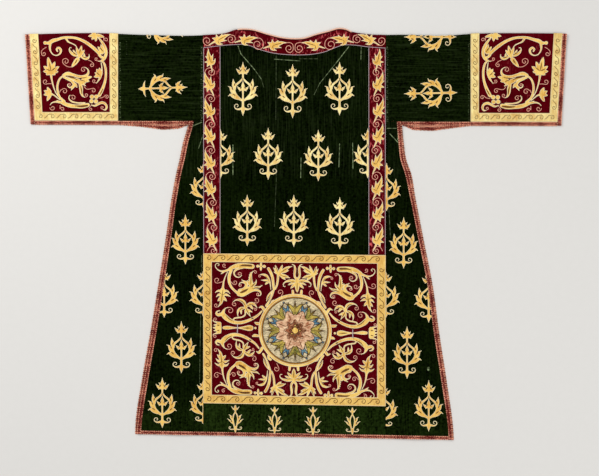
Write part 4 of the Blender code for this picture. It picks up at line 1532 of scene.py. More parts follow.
def small_motif(x, y, length):
    """The hem's smaller motif: a finial, two leaf arms, volutes and a drop."""
    shape = Figure(x, float(straight(x, y)), DRAWN * length / SMALL_LENGTH)
    shape.leaf(0, 6.0, 0, 0.2, 2.7)
    shape.stroke((0, 5.0, 1.9), (0, 8.2, 1.6))
    shape.leaf(0, 23.4, 0, 28.2, 2.4)
    shape.stroke((0, 22.4, 2.0), (0, 25.0, 2.2))
    for _ in shape.both():
        shape.stroke((0.3, 5.2, 1.6), (1.9, 4.4, 1.6), (2.9, 3.2, 1.0), (4.0, 2.0, 0.1))
        shape.stroke((0.1, 7.6, 1.4), (1.2, 9.4, 1.4), (2.1, 11.6, 1.6), (2.6, 14.6, 1.9),
                     (2.2, 17.8, 2.1), (1.4, 20.6, 1.6), (0.8, 23.4, 1.5))
        shape.stroke((2.8, 15.4, 2.0), (4.1, 13.0, 2.5), (4.9, 11.3, 1.6), (6.4, 10.0, 0.1))
        shape.stroke((2.0, 19.0, 1.8), (3.8, 17.4, 2.5), (5.8, 15.8, 1.5), (8.0, 14.2, 0.1))
        shape.stroke((0.4, 24.2, 1.4), (2.4, 24.9, 1.2), (4.6, 24.9, 1.1), (6.3, 23.8, 1.0),
                     (6.0, 22.4, 0.9), (4.7, 22.5, 0.9), (4.9, 23.5, 0.8))
        shape.hollow((3.0, 11.8, 0.3), (3.3, 12.8, 0.9), (3.2, 14.0, 0.3))
        shape.hollow((4.6, 15.0, 0.3), (4.2, 16.3, 0.9), (3.4, 17.6, 0.3))
    return shape


def rectangle(left, low, right, high):
    """Its corners, as a clip."""
    return [(left, low), (right, low), (right, high), (left, high)]


def gore_clip(hand):
    """The gore between its seam and its side braid."""
    y = steps_between(HEM + GALLOON_SLEEVE, SLEEVE_BRAID, 0.04)
    seam = BODY_SEAM[hand]
    edge = side(hand, y, "front") - hand * (GALLOON + SEAM_GAP)
    return [(seam, y[-1]), (seam, y[0]), *zip(edge.tolist(), y.tolist())]


def under_fold(start, end, low, share):
    """Clip from one place across to another, up to where a cloth turns over its fold."""
    x = steps_between(start, end, 0.02)
    radius, centre = fold_shape(x)
    return [(end, low), (start, low), *zip(x.tolist(), (centre + share * radius).tolist())]


class DALMATIC_OT_motifs(bpy.types.Operator):
    """Lay the yellow satin motifs on the green velvet"""

    bl_idname = "dalmatic.motifs"
    bl_label = "Motifs of the velvet"

    def execute(self, context):
        front = Ornaments("Motif_front", on_body(0.0))
        clip = rectangle(SEAM[-1] + BAND_WIDTH, APPAREL_TOP, SEAM[1] - BAND_WIDTH, NECK_CLEAR)
        for x, y, length in FRONT_MOTIFS:
            front.add(great_motif(x, y, length), clip)
        front.make("Satin_pale", edge_width=THIN_CORD)
        hem = Ornaments("Motif_hem", on_body(0.0))
        for x, y, length in HEM_MOTIFS:
            hem.add(small_motif(x, y, length))
        hem.make(edge_width=THIN_CORD)
        for hand, word in HANDS:
            gore = Ornaments(f"Motif_gore_{word}", on_body(0.0))
            for x, y, length in GORE_MOTIFS[hand]:
                gore.add(great_motif(x, y, length), gore_clip(hand))
            gore.make("Satin_gold", edge_width=THIN_CORD)
            sleeve = Ornaments(f"Motif_sleeve_{word}", on_sleeve(hand))
            clip = under_fold(BODY_SEAM[hand], CUFF[hand] - hand * HALF_GAP, SLEEVE_BRAID, 1.2)
            for x, y, length, turn, tail in SLEEVE_MOTIFS[hand]:
                sleeve.add(great_motif(x, y, length, turn, tail), clip)
            sleeve.make("Satin_gold", edge_width=THIN_CORD)
        return {"FINISHED"}


# Vine of the crimson bands

FIRST_LEAF, NECK_LEAF = 0.9, 0.94     # sizes beside the other leaves
LAST_SPIRAL = 0.0655                  # its drop under the last leaf
# Middles of the upright bands' leaves: height, place on the left and on the right band
VINE_LEAVES = (
    (0.4794, -0.2375, 0.2264), (0.4133, -0.2400, 0.2278), (0.3400, -0.2394, 0.2286),
    (0.2694, -0.2389, 0.2278), (0.1967, -0.2389, 0.2244), (0.1239, -0.2375, 0.2250),
    (0.0522, -0.2350, 0.2272), (-0.0167, -0.2333, 0.2267),
)
# Leaves of the neck band, from its left end inwards: place, height, turn
NECK_LEAVES = ((-0.2142, 0.5383, 85), (-0.1408, 0.5375, 100), (-0.0620, 0.5228, 97))
NECK_MIDDLE, NECK_HEIGHT = -0.0052, 0.5150
# Edge cords of the upright bands: inset outside and inside, and how far they stop short
BAND_CORDS = (0.0014, 0.0006, 0.001)


def neck_spirals(flip):
    """The neck band's four spirals on one side, drawn from its middle outwards."""
    shape = Figure(NECK_MIDDLE, float(straight(NECK_MIDDLE, NECK_HEIGHT)), DRAWN, 0.0, flip)
    shape.line((-83.2, -3.2), (-87.6, -3.0), (-90.5, -6.0), (-90.2, -9.4), (-87.5, -10.6),
               (-84.8, -9.2), (-84.5, -6.6), (-86.3, -5.2), (-87.9, -6.4), (-87.4, -7.8))
    shape.line((-63.1, -13.4), (-59.9, -12.4), (-58.7, -9.4), (-60.1, -6.4), (-63.1, -5.6),
               (-65.5, -7.2), (-65.7, -10.0), (-63.7, -11.4), (-61.7, -10.4), (-61.7, -8.6),
               (-63.1, -8.0))
    shape.line((-37.6, -10.4), (-33.6, -9.8), (-30.9, -6.0), (-31.1, -1.6), (-34.1, 1.0),
               (-37.9, 0.4), (-40.1, -2.4), (-39.7, -5.6), (-37.3, -7.0), (-34.7, -6.0),
               (-34.1, -3.6), (-35.5, -2.0), (-37.3, -2.4))
    shape.line((-9.6, -5.0), (-5.6, -5.8), (-1.8, -4.4), (-0.9, -1.0), (-1.4, 2.4), (-4.1, 4.2),
               (-7.1, 3.0), (-8.3, 0.2), (-6.9, -2.2), (-4.3, -2.4), (-3.1, -0.6), (-3.9, 1.4),
               (-5.5, 1.2))
    return shape


def vine(x, y, turn=0.0, flip=1, leaf=True, spiral=True, unit=DRAWN):
    """One repeat of the vine: a leaf of six lobes with its stem, and the spiral at its tip."""
    shape = Figure(x, float(straight(x, y)), unit, turn, flip)
    if leaf:
        shape.disc(0.4, 0.6, 3.3)
        shape.stroke((0.6, 0.8, 6.2), (-2.2, -4.2, 5.1), (-4.0, -8.6, 2.9), (-4.7, -13.0, 0.1))
        shape.stroke((-1.5, -2.6, 3.6), (-4.0, -3.2, 2.6), (-6.1, -4.2, 0.1))
        shape.stroke((-0.8, 1.2, 3.8), (-3.6, 1.6, 2.6), (-6.0, 2.3, 0.1))
        shape.stroke((0.0, 1.6, 4.2), (-1.6, 4.2, 3.0), (-2.4, 6.7, 0.2))
        shape.stroke((0.4, 2.0, 4.4), (3.0, 1.5, 4.2), (4.4, -0.8, 2.5), (4.8, -3.8, 0.1))
        shape.stroke((0.8, -0.6, 4.2), (1.0, -4.2, 2.6), (1.4, -8.4, 0.1))
        shape.stroke((1.2, 3.6, 2.4), (2.4, 6.6, 1.7), (3.6, 9.0, 1.2), (4.3, 10.9, 0.7))
        shape.hollow((-3.4, -7.8, 0.2), (-1.8, -3.6, 0.7), (0.2, 0.4, 0.3))
        shape.hollow((3.8, -0.6, 0.2), (2.2, 0.8, 0.6), (0.2, 0.8, 0.3))
    if spiral:
        shape.line((-4.7, -12.6), (-3.8, -14.8), (-1.6, -16.8), (1.4, -17.0), (3.6, -15.6),
                   (5.0, -13.2), (4.3, -10.8), (2.0, -9.7), (-0.1, -10.8), (-0.7, -12.8),
                   (0.4, -14.4), (2.0, -14.1), (2.3, -12.5), (1.3, -11.9))
    return shape


class DALMATIC_OT_vine(bpy.types.Operator):
    """Lay the vine with its leaves and spirals on the crimson bands"""

    bl_idname = "dalmatic.vine"
    bl_label = "Vine of the bands"

    def execute(self, context):
        bands = Ornaments("Vine", on_body(BAND_HEIGHT))
        for flip, column in ((1, 1), (-1, 2)):
            first, *others = VINE_LEAVES
            bands.add(vine(first[column], first[0], 11, flip, spiral=False,
                           unit=FIRST_LEAF * DRAWN))
            for row in others:
                bands.add(vine(row[column], row[0], flip=flip))
            bands.add(vine(row[column], row[0] - LAST_SPIRAL, flip=flip, leaf=False))
            for x, y, turn in NECK_LEAVES:
                x = NECK_MIDDLE + flip * (x - NECK_MIDDLE)
                bands.add(vine(x, y, turn, flip, spiral=False, unit=NECK_LEAF * DRAWN))
            bands.add(neck_spirals(flip))
        bands.make("Satin_gold")

        lines = []
        outer, inner, short = BAND_CORDS
        for x in (SEAM[-1] + outer, SEAM[-1] + BAND_WIDTH - inner,
                  SEAM[1] - BAND_WIDTH + inner, SEAM[1] - outer):
            y = steps_between(APPAREL_TOP + short, float(band_low(x)) - short, 0.005)
            lines.append(np.stack([x + 0 * y, y], axis=1))
        x = steps_between(SEAM[-1] + short, SEAM[1] - short, 0.004)
        lines.append(np.stack([x, band_low(x) + 0.0008], axis=1))
        wave = context.scene.dalmatic_sizes.wave
        bands.cords("edges", lines, 0.38 * wave, "Grey_cord", "galloon", height=0.0)
        return {"FINISHED"}


# Scrollwork of the apparel, one quarter drawn from its upper left corner

SCROLL = 1 / 7200     # unit of the scrollwork's drawing, metres
SCROLL_X, SCROLL_Y = -0.2361, -0.0778
# Where the scrollwork's uprights and levels lie: above, below, left, right
UPRIGHTS = (0.0006, -0.0086)
LEVELS = (-0.2600, -0.2744)
# How each other quarter differs from the first one's mirror image: side, up, and its
# shift inwards, as a length and a share of the place across, then its shift towards
# the level axis, likewise
QUARTERS = ((-1, 1, 0.0, -0.026, 0.0167, -0.075), (1, -1, 0.0, -0.055, 0.0161, -0.085),
            (-1, -1, 0.0022, 0.0, -0.0017, 0.0))


def apparel_quarter():
    """Pod, flower, palmette, trumpet, hanging leaf, spray and horn of one quarter."""
    s = Figure(SCROLL_X, SCROLL_Y, SCROLL)
    # pod along the top, its left tail, its lower loop and its stem
    s.stroke((380, 135, 64), (450, 100, 82), (540, 74, 94), (640, 72, 102), (740, 80, 106),
             (828, 88, 98))
    s.stroke((420, 120, 60), (340, 160, 50), (260, 182, 38), (180, 175, 27), (115, 130, 20),
             (88, 80, 16), (105, 35, 14), (145, 28, 12), (166, 55, 11), (140, 74, 10))
    s.leaf(300, 160, 198, 242, 36)
    s.stroke((650, 112, 34), (560, 130, 42), (490, 165, 42), (462, 215, 34), (478, 268, 28),
             (528, 302, 23), (585, 298, 17), (616, 258, 12))
    s.curl(572, 240, 42, 10, -1)
    s.hollow((575, 80, 10), (650, 66, 30), (740, 68, 38), (808, 75, 34))
    s.stroke((405, 165, 60), (372, 250, 63), (362, 345, 61), (375, 430, 53), (420, 515, 48),
             (485, 580, 48), (545, 628, 56))
    # small flower
    s.disc(935, 82, 30)
    s.disc(1067, 86, 32)
    s.stroke((1002, 30, 42), (1000, 90, 52), (998, 152, 38))
    s.stroke((940, 84, 28), (1060, 86, 28))
    s.hollow((1000, 86, 12), (1012, 92, 12))
    # two stems from a knot, with leaf, palmette and pod
    s.stroke((1150, 130, 58), (1195, 210, 58), (1232, 320, 55), (1245, 430, 52), (1254, 520, 46))
    s.disc(1264, 535, 28)
    s.stroke((1345, 250, 50), (1335, 360, 45), (1318, 460, 42), (1285, 535, 38))
    s.stroke((1258, 545, 42), (1225, 650, 40), (1170, 770, 38), (1108, 872, 50))
    s.stroke((1225, 575, 22), (1180, 640, 52), (1140, 710, 54), (1112, 780, 5))
    s.hollow((1192, 640, 5), (1152, 710, 15), (1125, 762, 5))
    s.stroke((1198, 552, 10), (1186, 440, 26), (1152, 340, 48), (1100, 270, 56), (1040, 248, 36),
             (985, 252, 14))
    s.stroke((1150, 370, 42), (1110, 368, 46), (1060, 364, 34), (1006, 360, 3))
    s.stroke((1165, 390, 30), (1130, 410, 46), (1094, 438, 30))
    s.curl(978, 282, 29, -90, -1)
    s.hollow((1060, 278, 5), (1110, 305, 13), (1152, 370, 5))
    s.hollow((1070, 380, 4), (1110, 390, 11), (1150, 398, 4))
    s.leaf(1350, 252, 1284, 60, 54)
    s.leaf(1360, 240, 1431, 54, 58)
    s.stroke((1370, 225, 50), (1460, 165, 78), (1540, 110, 52), (1624, 87, 3))
    s.leaf(1430, 200, 1554, 166, 56)
    s.stroke((1370, 250, 50), (1450, 275, 74), (1520, 295, 52), (1582, 319, 3))
    s.stroke((1400, 270, 50), (1450, 318, 52), (1480, 345, 24))
    s.leaf(1345, 240, 1249, 110, 48)
    s.leaf(1352, 236, 1260, 196, 46)
    s.disc(1352, 240, 38)
    s.hollow((1400, 205, 5), (1460, 165, 12), (1540, 122, 4))
    s.hollow((1340, 205, 4), (1318, 140, 10), (1300, 92, 3))
    s.hollow((1400, 262, 4), (1450, 286, 12), (1515, 302, 4))
    # trumpet flower: lower band, body, upper band, lobes and seed pod
    s.stroke((552, 645, 66), (620, 664, 62), (700, 632, 62), (780, 586, 60), (860, 562, 48),
             (930, 562, 46), (985, 595, 34), (1000, 640, 22), (976, 672, 15), (938, 662, 11))
    s.curl(940, 642, 36, 60, 1)
    s.stroke((600, 620, 92), (680, 580, 112), (760, 540, 122), (810, 520, 92))
    s.stroke((552, 600, 46), (566, 560, 46), (630, 545, 46), (690, 510, 60), (712, 460, 64),
             (690, 405, 52), (650, 375, 30), (611, 350, 3))
    s.stroke((690, 425, 38), (625, 405, 26), (575, 425, 18), (560, 465, 13))
    s.curl(588, 462, 32, 190, -1)
    s.hollow((600, 608, 32), (650, 588, 44), (705, 560, 36), (748, 530, 10))
    s.stroke((790, 505, 68), (860, 450, 60), (900, 405, 36), (908, 352, 3))
    s.stroke((820, 535, 62), (900, 508, 50), (970, 498, 36), (1028, 463, 3))
    s.hollow((800, 500, 5), (840, 465, 14), (888, 405, 4))
    s.hollow((830, 532, 5), (890, 520, 14), (965, 505, 4))
    s.stroke((790, 425, 116), (798, 360, 64), (796, 290, 52), (806, 225, 36), (853, 176, 4))
    for x, y, radius in ((735, 392, 27), (768, 345, 19), (770, 303, 18), (776, 261, 16),
                         (790, 222, 13)):
        s.disc(x, y, radius)
    s.hollow((792, 445, 5), (800, 360, 13), (802, 280, 4))
    s.curl(885, 204, 36, 200, 1)
    # hanging leaf
    s.stroke((335, 195, 15), (285, 300, 23), (255, 400, 31), (242, 500, 45), (235, 560, 70))
    s.stroke((235, 560, 98), (225, 660, 110), (218, 740, 82), (200, 820, 52), (146, 894, 3))
    s.stroke((220, 590, 60), (165, 572, 46), (120, 585, 30), (86, 610, 3))
    s.stroke((210, 650, 60), (155, 655, 48), (106, 698, 3))
    s.leaf(215, 700, 134, 780, 56)
    s.stroke((255, 580, 50), (310, 575, 46), (350, 595, 30), (382, 632, 3))
    s.stroke((250, 640, 60), (320, 655, 48), (390, 690, 3))
    s.leaf(245, 700, 314, 780, 56)
    s.hollow((238, 560, 5), (228, 660, 15), (205, 790, 5))
    s.hollow((150, 598, 4), (185, 620, 12), (225, 652, 4))
    s.hollow((322, 603, 4), (285, 625, 12), (240, 652, 4))
    # spray
    s.disc(690, 890, 32)
    s.stroke((690, 870, 52), (660, 805, 70), (605, 765, 64), (540, 752, 40), (480, 768, 19),
             (446, 798, 11))
    s.curl(472, 838, 48, -130, -1)
    s.stroke((705, 900, 34), (755, 850, 66), (820, 828, 62), (880, 858, 42), (924, 917, 3))
    s.leaf(770, 850, 842, 944, 52)
    s.stroke((675, 920, 36), (610, 925, 60), (550, 965, 52), (535, 1030, 28), (545, 1094, 3))
    s.leaf(600, 930, 606, 1044, 42)
    s.stroke((700, 920, 50), (735, 990, 64), (792, 1088, 3))
    s.leaf(715, 945, 830, 1001, 46)
    s.leaf(690, 950, 690, 1040, 40)
    s.stroke((692, 1000, 30), (680, 1060, 30), (620, 1098, 30), (530, 1112, 30), (462, 1130, 30),
             (448, 1165, 26), (500, 1190, 20))
    s.hollow((560, 765, 4), (620, 785, 15), (677, 855, 5))
    s.hollow((728, 882, 4), (780, 850, 12), (855, 856, 4))
    s.hollow((650, 915, 4), (600, 937, 13), (562, 975, 4))
    s.hollow((702, 925, 4), (730, 985, 13), (768, 1045, 4))
    # horn with its spiral and knob
    s.stroke((1016, 982, 30), (940, 1062, 44), (840, 1125, 54), (720, 1178, 60), (600, 1208, 64),
             (480, 1205, 72), (370, 1160, 88), (285, 1095, 102), (232, 1035, 86))
    s.stroke((235, 1040, 92), (255, 975, 52), (290, 925, 21), (350, 902, 15))
    s.curl(385, 970, 66, -110, 1, (300, 918))
    s.stroke((190, 1045, 72), (140, 1055, 58), (108, 1020, 42), (132, 982, 28), (180, 972, 18))
    s.hollow((300, 1060, 5), (360, 1130, 15), (450, 1182, 5))
    s.hollow((818, 1132, 22), (842, 1120, 22))
    # brackets on the ring
    s.stroke((1085, 990, 62), (1052, 935, 58), (1012, 893, 50), (960, 913, 8))
    s.stroke((1215, 845, 50), (1222, 795, 52), (1262, 776, 48))
    s.stroke((1012, 1228, 46), (905, 1222, 50), (884, 1210, 30))
    # tendrils
    s.curl(268, 66, 38, 90, 1, (300, 112))
    s.curl(480, 405, 48, 135, -1, (398, 390))
    s.curl(125, 362, 62, 60, 1, (240, 390))
    s.curl(1383, 603, 60, 45, -1, (1392, 708))
    s.curl(910, 762, 58, 115, -1, (862, 800))
    s.curl(105, 862, 42, 50, 1, (148, 894))
    s.curl(888, 950, 30, -120, 1, (845, 915))
    s.curl(88, 1145, 36, 150, 1, (62, 1195))
    return s


def apparel_uprights():
    """What stands on the upright axis: tulip, lily and the feet over the ring."""
    s = Figure(0.0, SCROLL_Y, SCROLL)
    for _ in s.both():
        s.stroke((104, 47, 3), (64, 62, 22), (42, 120, 42), (46, 190, 48), (52, 255, 42),
                 (36, 312, 48), (0, 342, 50))
        s.stroke((10, 392, 50), (100, 372, 60), (175, 378, 48), (238, 400, 30), (278, 448, 18),
                 (262, 490, 13), (232, 484, 10))
        s.leaf(60, 400, 180, 458, 46)
        s.leaf(15, 410, 130, 526, 62)
        s.stroke((88, 575, 48), (80, 650, 56))
        s.hollow((40, 402, 5), (95, 396, 14), (160, 402, 4))
    s.disc(0, 365, 42)
    s.leaf(0, 390, 0, 604, 92)
    s.hollow((0, 170, 8), (0, 240, 26))
    s.hollow((0, 420, 6), (0, 490, 16), (0, 565, 5))
    return s


def apparel_levels(y):
    """What lies on the level axis at the left: crown, baluster and tie."""
    s = Figure(SCROLL_X, y, SCROLL)
    s.stroke((168, -78, 88), (154, -40, 120), (150, 0, 128), (154, 40, 120), (168, 78, 88))
    s.leaf(150, 0, 38, 0, 46)
    for k in (1, -1):
        s.stroke((150, k * 90, 60), (105, k * 112, 34), (62, k * 124, 16), (40, k * 150, 3))
        s.leaf(140, k * 54, 52, k * 56, 38)
        s.hollow((172, k * 46, 8), (150, k * 50, 20), (122, k * 52, 5))
    s.stroke((262, 0, 62), (330, -2, 76), (420, 0, 50), (520, 2, 26), (620, 4, 52), (715, 6, 98),
             (780, 6, 116), (800, 6, 106))
    s.disc(888, 6, 24)
    s.hollow((640, 4, 6), (730, 6, 18), (800, 6, 6))
    return s


def to_cut(x, y):
    """From a place as the cloth lies back to the straight cloth."""
    return x, straight(x, y)


def quarter_place(side, up, shift_x=0.0, lean_x=0.0, shift_y=0.0, lean_y=0.0):
    """The change that takes the first quarter to another one."""
    def change(x, y):
        across = x - SCROLL_X
        new_x = x + shift_x + lean_x * across - ROUNDEL_X
        new_y = y - shift_y - lean_y * across - ROUNDEL_Y
        return to_cut(ROUNDEL_X + side * new_x, ROUNDEL_Y + up * new_y)
    return change


class DALMATIC_OT_apparel(bpy.types.Operator):
    """Lay the scrollwork on the crimson apparel"""

    bl_idname = "dalmatic.apparel"
    bl_label = "Scrollwork of the apparel"

    def execute(self, context):
        scroll = Ornaments("Apparel", on_body(BAND_HEIGHT))
        clip = rectangle(SEAM[-1] + BORDER, APPAREL_LOW + BORDER, SEAM[1] - BORDER,
                         APPAREL_TOP - BORDER)
        quarter = apparel_quarter()
        figures = [quarter.moved(to_cut)]
        figures += [quarter.moved(quarter_place(*row)) for row in QUARTERS]
        upright = apparel_uprights()
        for x, up in zip(UPRIGHTS, (1, -1)):
            figures.append(upright.moved(quarter_place(1, up, x - ROUNDEL_X)))
        for y, hand in zip(LEVELS, (1, -1)):
            figures.append(apparel_levels(y).moved(quarter_place(hand, 1)))
        for figure in figures:
            scroll.add(figure, clip)
        scroll.make()
        ties = []
        for y, hand in zip(LEVELS, (1, -1)):
            tie = Figure(SCROLL_X, y, SCROLL)
            tie.line((531, -70), (533, 0), (529, 104))
            ties += tie.moved(quarter_place(hand, 1)).tendrils
        scroll.cords("ties", ties, 0.0013, "Grey_cord", height=2.0)
        return {"FINISHED"}


# Scrollwork of the cuffs, drawn on the left one

CUFF_X, CUFF_Y = -0.7472, 0.5556


def cuff_figure():
    """Arch, volute, flowers, pod, trumpet, leaves and sprays of a cuff."""
    s = Figure(CUFF_X, CUFF_Y, DRAWN)
    # knob, arch, volute and the stem of the flower
    s.disc(18.5, 9.2, 1.8)
    s.stroke((18.6, 9.2, 2.0), (22.5, 9.3, 3.4), (25.5, 7.4, 3.8), (30.5, 5.9, 3.0),
             (36.6, 4.1, 2.5), (43, 3.8, 2.4), (49.4, 4.5, 2.5), (54.8, 6.4, 2.8),
             (60.3, 9.4, 3.1), (65.8, 13.5, 3.3), (70.2, 17.4, 3.1), (73.6, 21.8, 2.2))
    s.stroke((23.6, 10.2, 2.6), (23.2, 14, 2.0), (24.3, 18.2, 1.3), (27, 21.1, 1.0),
             (30.5, 21.6, 1.2), (33.6, 19.4, 1.8), (34.1, 16.2, 2.4), (31.8, 14.0, 2.2),
             (29.9, 15.6, 1.9), (30.8, 17.6, 1.4))
    s.stroke((39.5, 5, 2.2), (41.6, 8.0, 1.6), (45.5, 9.9, 1.1), (48.8, 11.8, 1.0),
             (50.6, 14.8, 0.8))
    # flower with its four petals
    s.disc(52.4, 22.6, 1.7)
    s.fan(52.7, 22.2, 3.5, (49.6, 13.6), (54.9, 12.0), (57.7, 16.4))
    s.stroke((51, 22.4, 1.4), (47.2, 20.9, 3.0), (43.9, 18.3, 2.3), (42.6, 15.4, 1.0),
             (43.4, 13.8, 0.8), (44.8, 14.2, 0.7))
    s.leaf(49.4, 21.4, 46.3, 16.0, 2.2)
    s.stroke((53.8, 22.4, 1.4), (57.2, 24.0, 3.4), (60.4, 24.7, 2.8), (62.4, 22.9, 1.3),
             (62.3, 20.6, 0.3))
    s.leaf(57.6, 23.2, 57.4, 19.6, 2.0)
    s.leaf(52.2, 24.0, 45.0, 33.4, 4.4)
    s.hollow((50.4, 25.8, 0.3), (49.4, 27.8, 1.0), (48.0, 30.0, 0.3))
    s.hollow((52.8, 19.8, 0.3), (53.2, 17.6, 0.8), (53.8, 15.4, 0.2))
    s.hollow((50.0, 21.2, 0.3), (47.6, 19.6, 0.9), (45.4, 17.8, 0.3))
    s.hollow((55.6, 22.6, 0.3), (57.8, 23.8, 0.9), (60.4, 24.0, 0.3))
    s.line((45.5, 33.1), (42, 33.2), (38.6, 31.6), (36, 28.4), (36.4, 25.8), (39, 24.8),
           (41.3, 26.2), (41.2, 28.6), (39.4, 29.6), (38.2, 28.2), (39.2, 27.0))
    # sprays of the upper right corner
    s.fan(69.2, 1.2, 3.4, (61.8, 2.6), (65.0, 5.8), (69.2, 7.6), (64.6, -1.5), (77.6, 3.4))
    s.stroke((70.6, 2.5, 1.0), (73.5, 6, 1.8), (76.8, 10.8, 2.8), (79, 16, 3.0), (79.1, 21, 3.1),
             (77, 25.4, 2.8), (74.5, 27.2, 1.6), (71.4, 27.5, 0.2))
    s.fan(77.0, 19.2, 3.6, (71.0, 13), (70.4, 17.6), (74.2, 10.6))
    s.leaf(77.2, 24.6, 71.6, 21.6, 2.6)
    s.hollow((76.6, 18.2, 0.3), (74.6, 15.6, 1.0), (73.0, 13.6, 0.3))
    # right stem with its leaf
    s.stroke((74.6, 26.6, 1.4), (77, 29.2, 2.0), (78.6, 33.6, 2.3), (79.2, 39.6, 2.3),
             (78.8, 45, 2.4), (77.2, 51.4, 2.8), (74.9, 57, 3.3), (72.6, 61.4, 3.5))
    s.hollow((76.4, 54.6, 0.3), (74.6, 58.2, 1.0), (73.2, 60.8, 0.5))
    s.stroke((74.4, 28.6, 0.8), (75.2, 34.5, 1.2), (75, 39.5, 1.8), (73.2, 44.2, 2.2),
             (69.8, 49.6, 0.2))
    s.fan(73.8, 41.4, 3.8, (72.8, 34.2), (69.8, 35.4), (68.2, 39.0), (67.4, 43.2))
    s.hollow((73.2, 41.6, 0.3), (71.4, 40.2, 0.9), (70.0, 38.4, 0.3))
    # quatrefoil, pod along the bottom, its tail and its inner branch
    for x, y in ((65.2, 63.0), (69.6, 63.0), (64.8, 67.4), (69.2, 67.6)):
        s.disc(x, y, 2.2)
    s.hollow((66.8, 65.2, 1.1), (67.6, 65.2, 1.1))
    s.stroke((30.0, 66.6, 0.6), (35.5, 69.0, 3.0), (41.5, 71.3, 4.0), (49.4, 72.5, 3.6),
             (56.7, 72.2, 4.6), (61.2, 71.2, 4.0))
    s.hollow((48.4, 72.0, 0.5), (54, 72.5, 1.7), (60.6, 71.8, 1.5))
    s.stroke((33, 68.4, 2.2), (28.6, 68.0, 1.6), (25, 69.2, 1.0), (23.3, 71.2, 0.4))
    s.stroke((58, 69.2, 1.6), (50, 69.0, 1.5), (45, 67.6, 1.6), (42.4, 65.2, 1.3),
             (42.2, 62.8, 0.8), (43.6, 61.2, 0.3))
    s.stroke((64.4, 71.0, 0.6), (68, 72.0, 1.8), (71.6, 70.2, 2.4), (75.2, 68.8, 2.6),
             (78.8, 70.4, 2.4), (79.9, 73.8, 2.1), (78.2, 76.2, 1.4), (76.6, 75.8, 0.7))
    # loop that carries the trumpet
    s.stroke((37.5, 67.8, 2.8), (33.2, 63.6, 2.4), (31.0, 57.5, 2.2), (31.0, 50.5, 2.1),
             (33.2, 45.0, 1.9), (37.0, 41.8, 1.8))
    s.stroke((37.0, 41.4, 2.8), (40.5, 40.0, 3.8), (46.5, 41.2, 3.0), (52, 42.8, 2.8),
             (57.5, 42.8, 3.2), (60.8, 40.8, 2.6), (61.8, 37.4, 1.7), (60.2, 34.6, 0.9),
             (57.8, 33.5, 0.3))
    s.stroke((37.6, 43.4, 2.6), (41.5, 45.4, 2.6), (45.4, 47.6, 2.8), (47.4, 51.0, 3.2),
             (45.8, 54.0, 2.4), (44.6, 56.4, 0.2))
    s.stroke((46.4, 52.0, 2.0), (43.4, 53.8, 1.5), (41.2, 52.4, 1.1), (40.9, 50.4, 0.7))
    s.leaf(48.0, 49.4, 50.4, 53.8, 2.6)
    s.stroke((41.0, 42.6, 1.8), (46.0, 44.8, 3.0), (51.0, 47.0, 4.6), (55.0, 49.2, 3.6),
             (59.0, 52.2, 0.2))
    s.fan(55.2, 45.6, 4.2, (65.2, 43.0), (62.6, 47.6), (58.8, 49.6))
    s.stroke((53.4, 49.5, 3.2), (54.4, 55.0, 3.7), (54.8, 59.4, 2.8), (56.2, 62.4, 1.5),
             (58.2, 63.6, 0.3))
    s.hollow((39.4, 42.0, 0.5), (43.0, 43.0, 1.7), (47.4, 44.4, 1.0), (50.8, 46.2, 0.3))
    s.hollow((60.0, 43.4, 0.3), (56.6, 44.2, 0.8), (53.2, 44.4, 0.3))
    s.hollow((58.4, 47.8, 0.3), (56.0, 46.8, 0.7), (53.8, 46.8, 0.3))
    s.hollow((54.0, 52.6, 0.4), (54.8, 56.6, 1.0), (55.2, 60.4, 0.3))
    # palmette and bud at the left
    s.leaf(24.4, 38.4, 21.3, 23.4, 5.0)
    s.fan(24.4, 38.0, 4.2, (28.3, 28.0), (32.4, 32.8), (31.4, 38.0), (17.0, 32.4), (16.8, 37.6),
          (19.6, 41.0), (28.6, 41.0))
    s.stroke((24.2, 39.0, 3.0), (25.0, 45, 1.8), (26.6, 52, 1.3), (29.4, 59.4, 1.0),
             (31.4, 62.4, 1.2))
    for x, y in ((22.6, 28.4), (29.2, 33.6), (19.4, 35.2)):
        s.hollow((24.4 + 0.1 * (x - 24.4), 37.2, 0.3), ((24.4 + x) / 2, (37.4 + y) / 2, 0.9),
                 (x, y, 0.2))
    s.fan(23.8, 59.8, 3.8, (20.6, 53.4), (17.4, 56.8), (17.2, 61.0), (20.4, 67.0))
    s.stroke((24, 60, 2.6), (27, 61.2, 1.4), (30.6, 64.0, 1.1), (33, 66, 1.0))
    # tendrils
    s.curl(17.2, 20.0, 2.4, 190, -1, (19.8, 13.4), (16.4, 15.6), (14.7, 18.0))
    s.curl(56.8, 35.9, 2.6, -70, -1)
    s.curl(69.6, 25.2, 1.7, 80, 1, (72.4, 27.4))
    s.curl(65.0, 31.2, 2.3, -60, 1, (61.6, 26.4), (64.0, 27.4))
    s.curl(18.8, 47.8, 2.7, 60, 1, (25, 50), (22.2, 49.9))
    s.curl(37.8, 57.4, 3.0, -150, 1, (33.0, 58.6), (33.8, 56.4))
    s.curl(66.6, 56.8, 2.4, -120, 1, (57.2, 52.4), (59.6, 55.2), (63.4, 55.2))
    s.curl(67.4, 47.2, 1.9, 60, 1, (70.0, 49.4))
    s.curl(80.0, 63.2, 2.0, -110, 1, (72.6, 64.4), (76.6, 63.4))
    s.curl(46.4, 63.8, 2.6, -140, 1)
    s.curl(25.8, 74.0, 2.7, 190, -1)
    s.curl(35.6, 75.4, 2.2, -170, 1, (33.4, 71.4))
    s.curl(64.0, 75.2, 2.0, -120, -1, (64.6, 71.4))
    s.curl(75.6, 73.8, 1.6, 90, 1, (76.6, 75.8))
    s.curl(59.4, 61.2, 1.9, 100, -1, (58.0, 63.4))
    s.curl(79.4, 6.2, 2.2, 150, 1, (76.6, 3.2))
    s.curl(42.8, 50.8, 1.5, 170, 1)
    return s


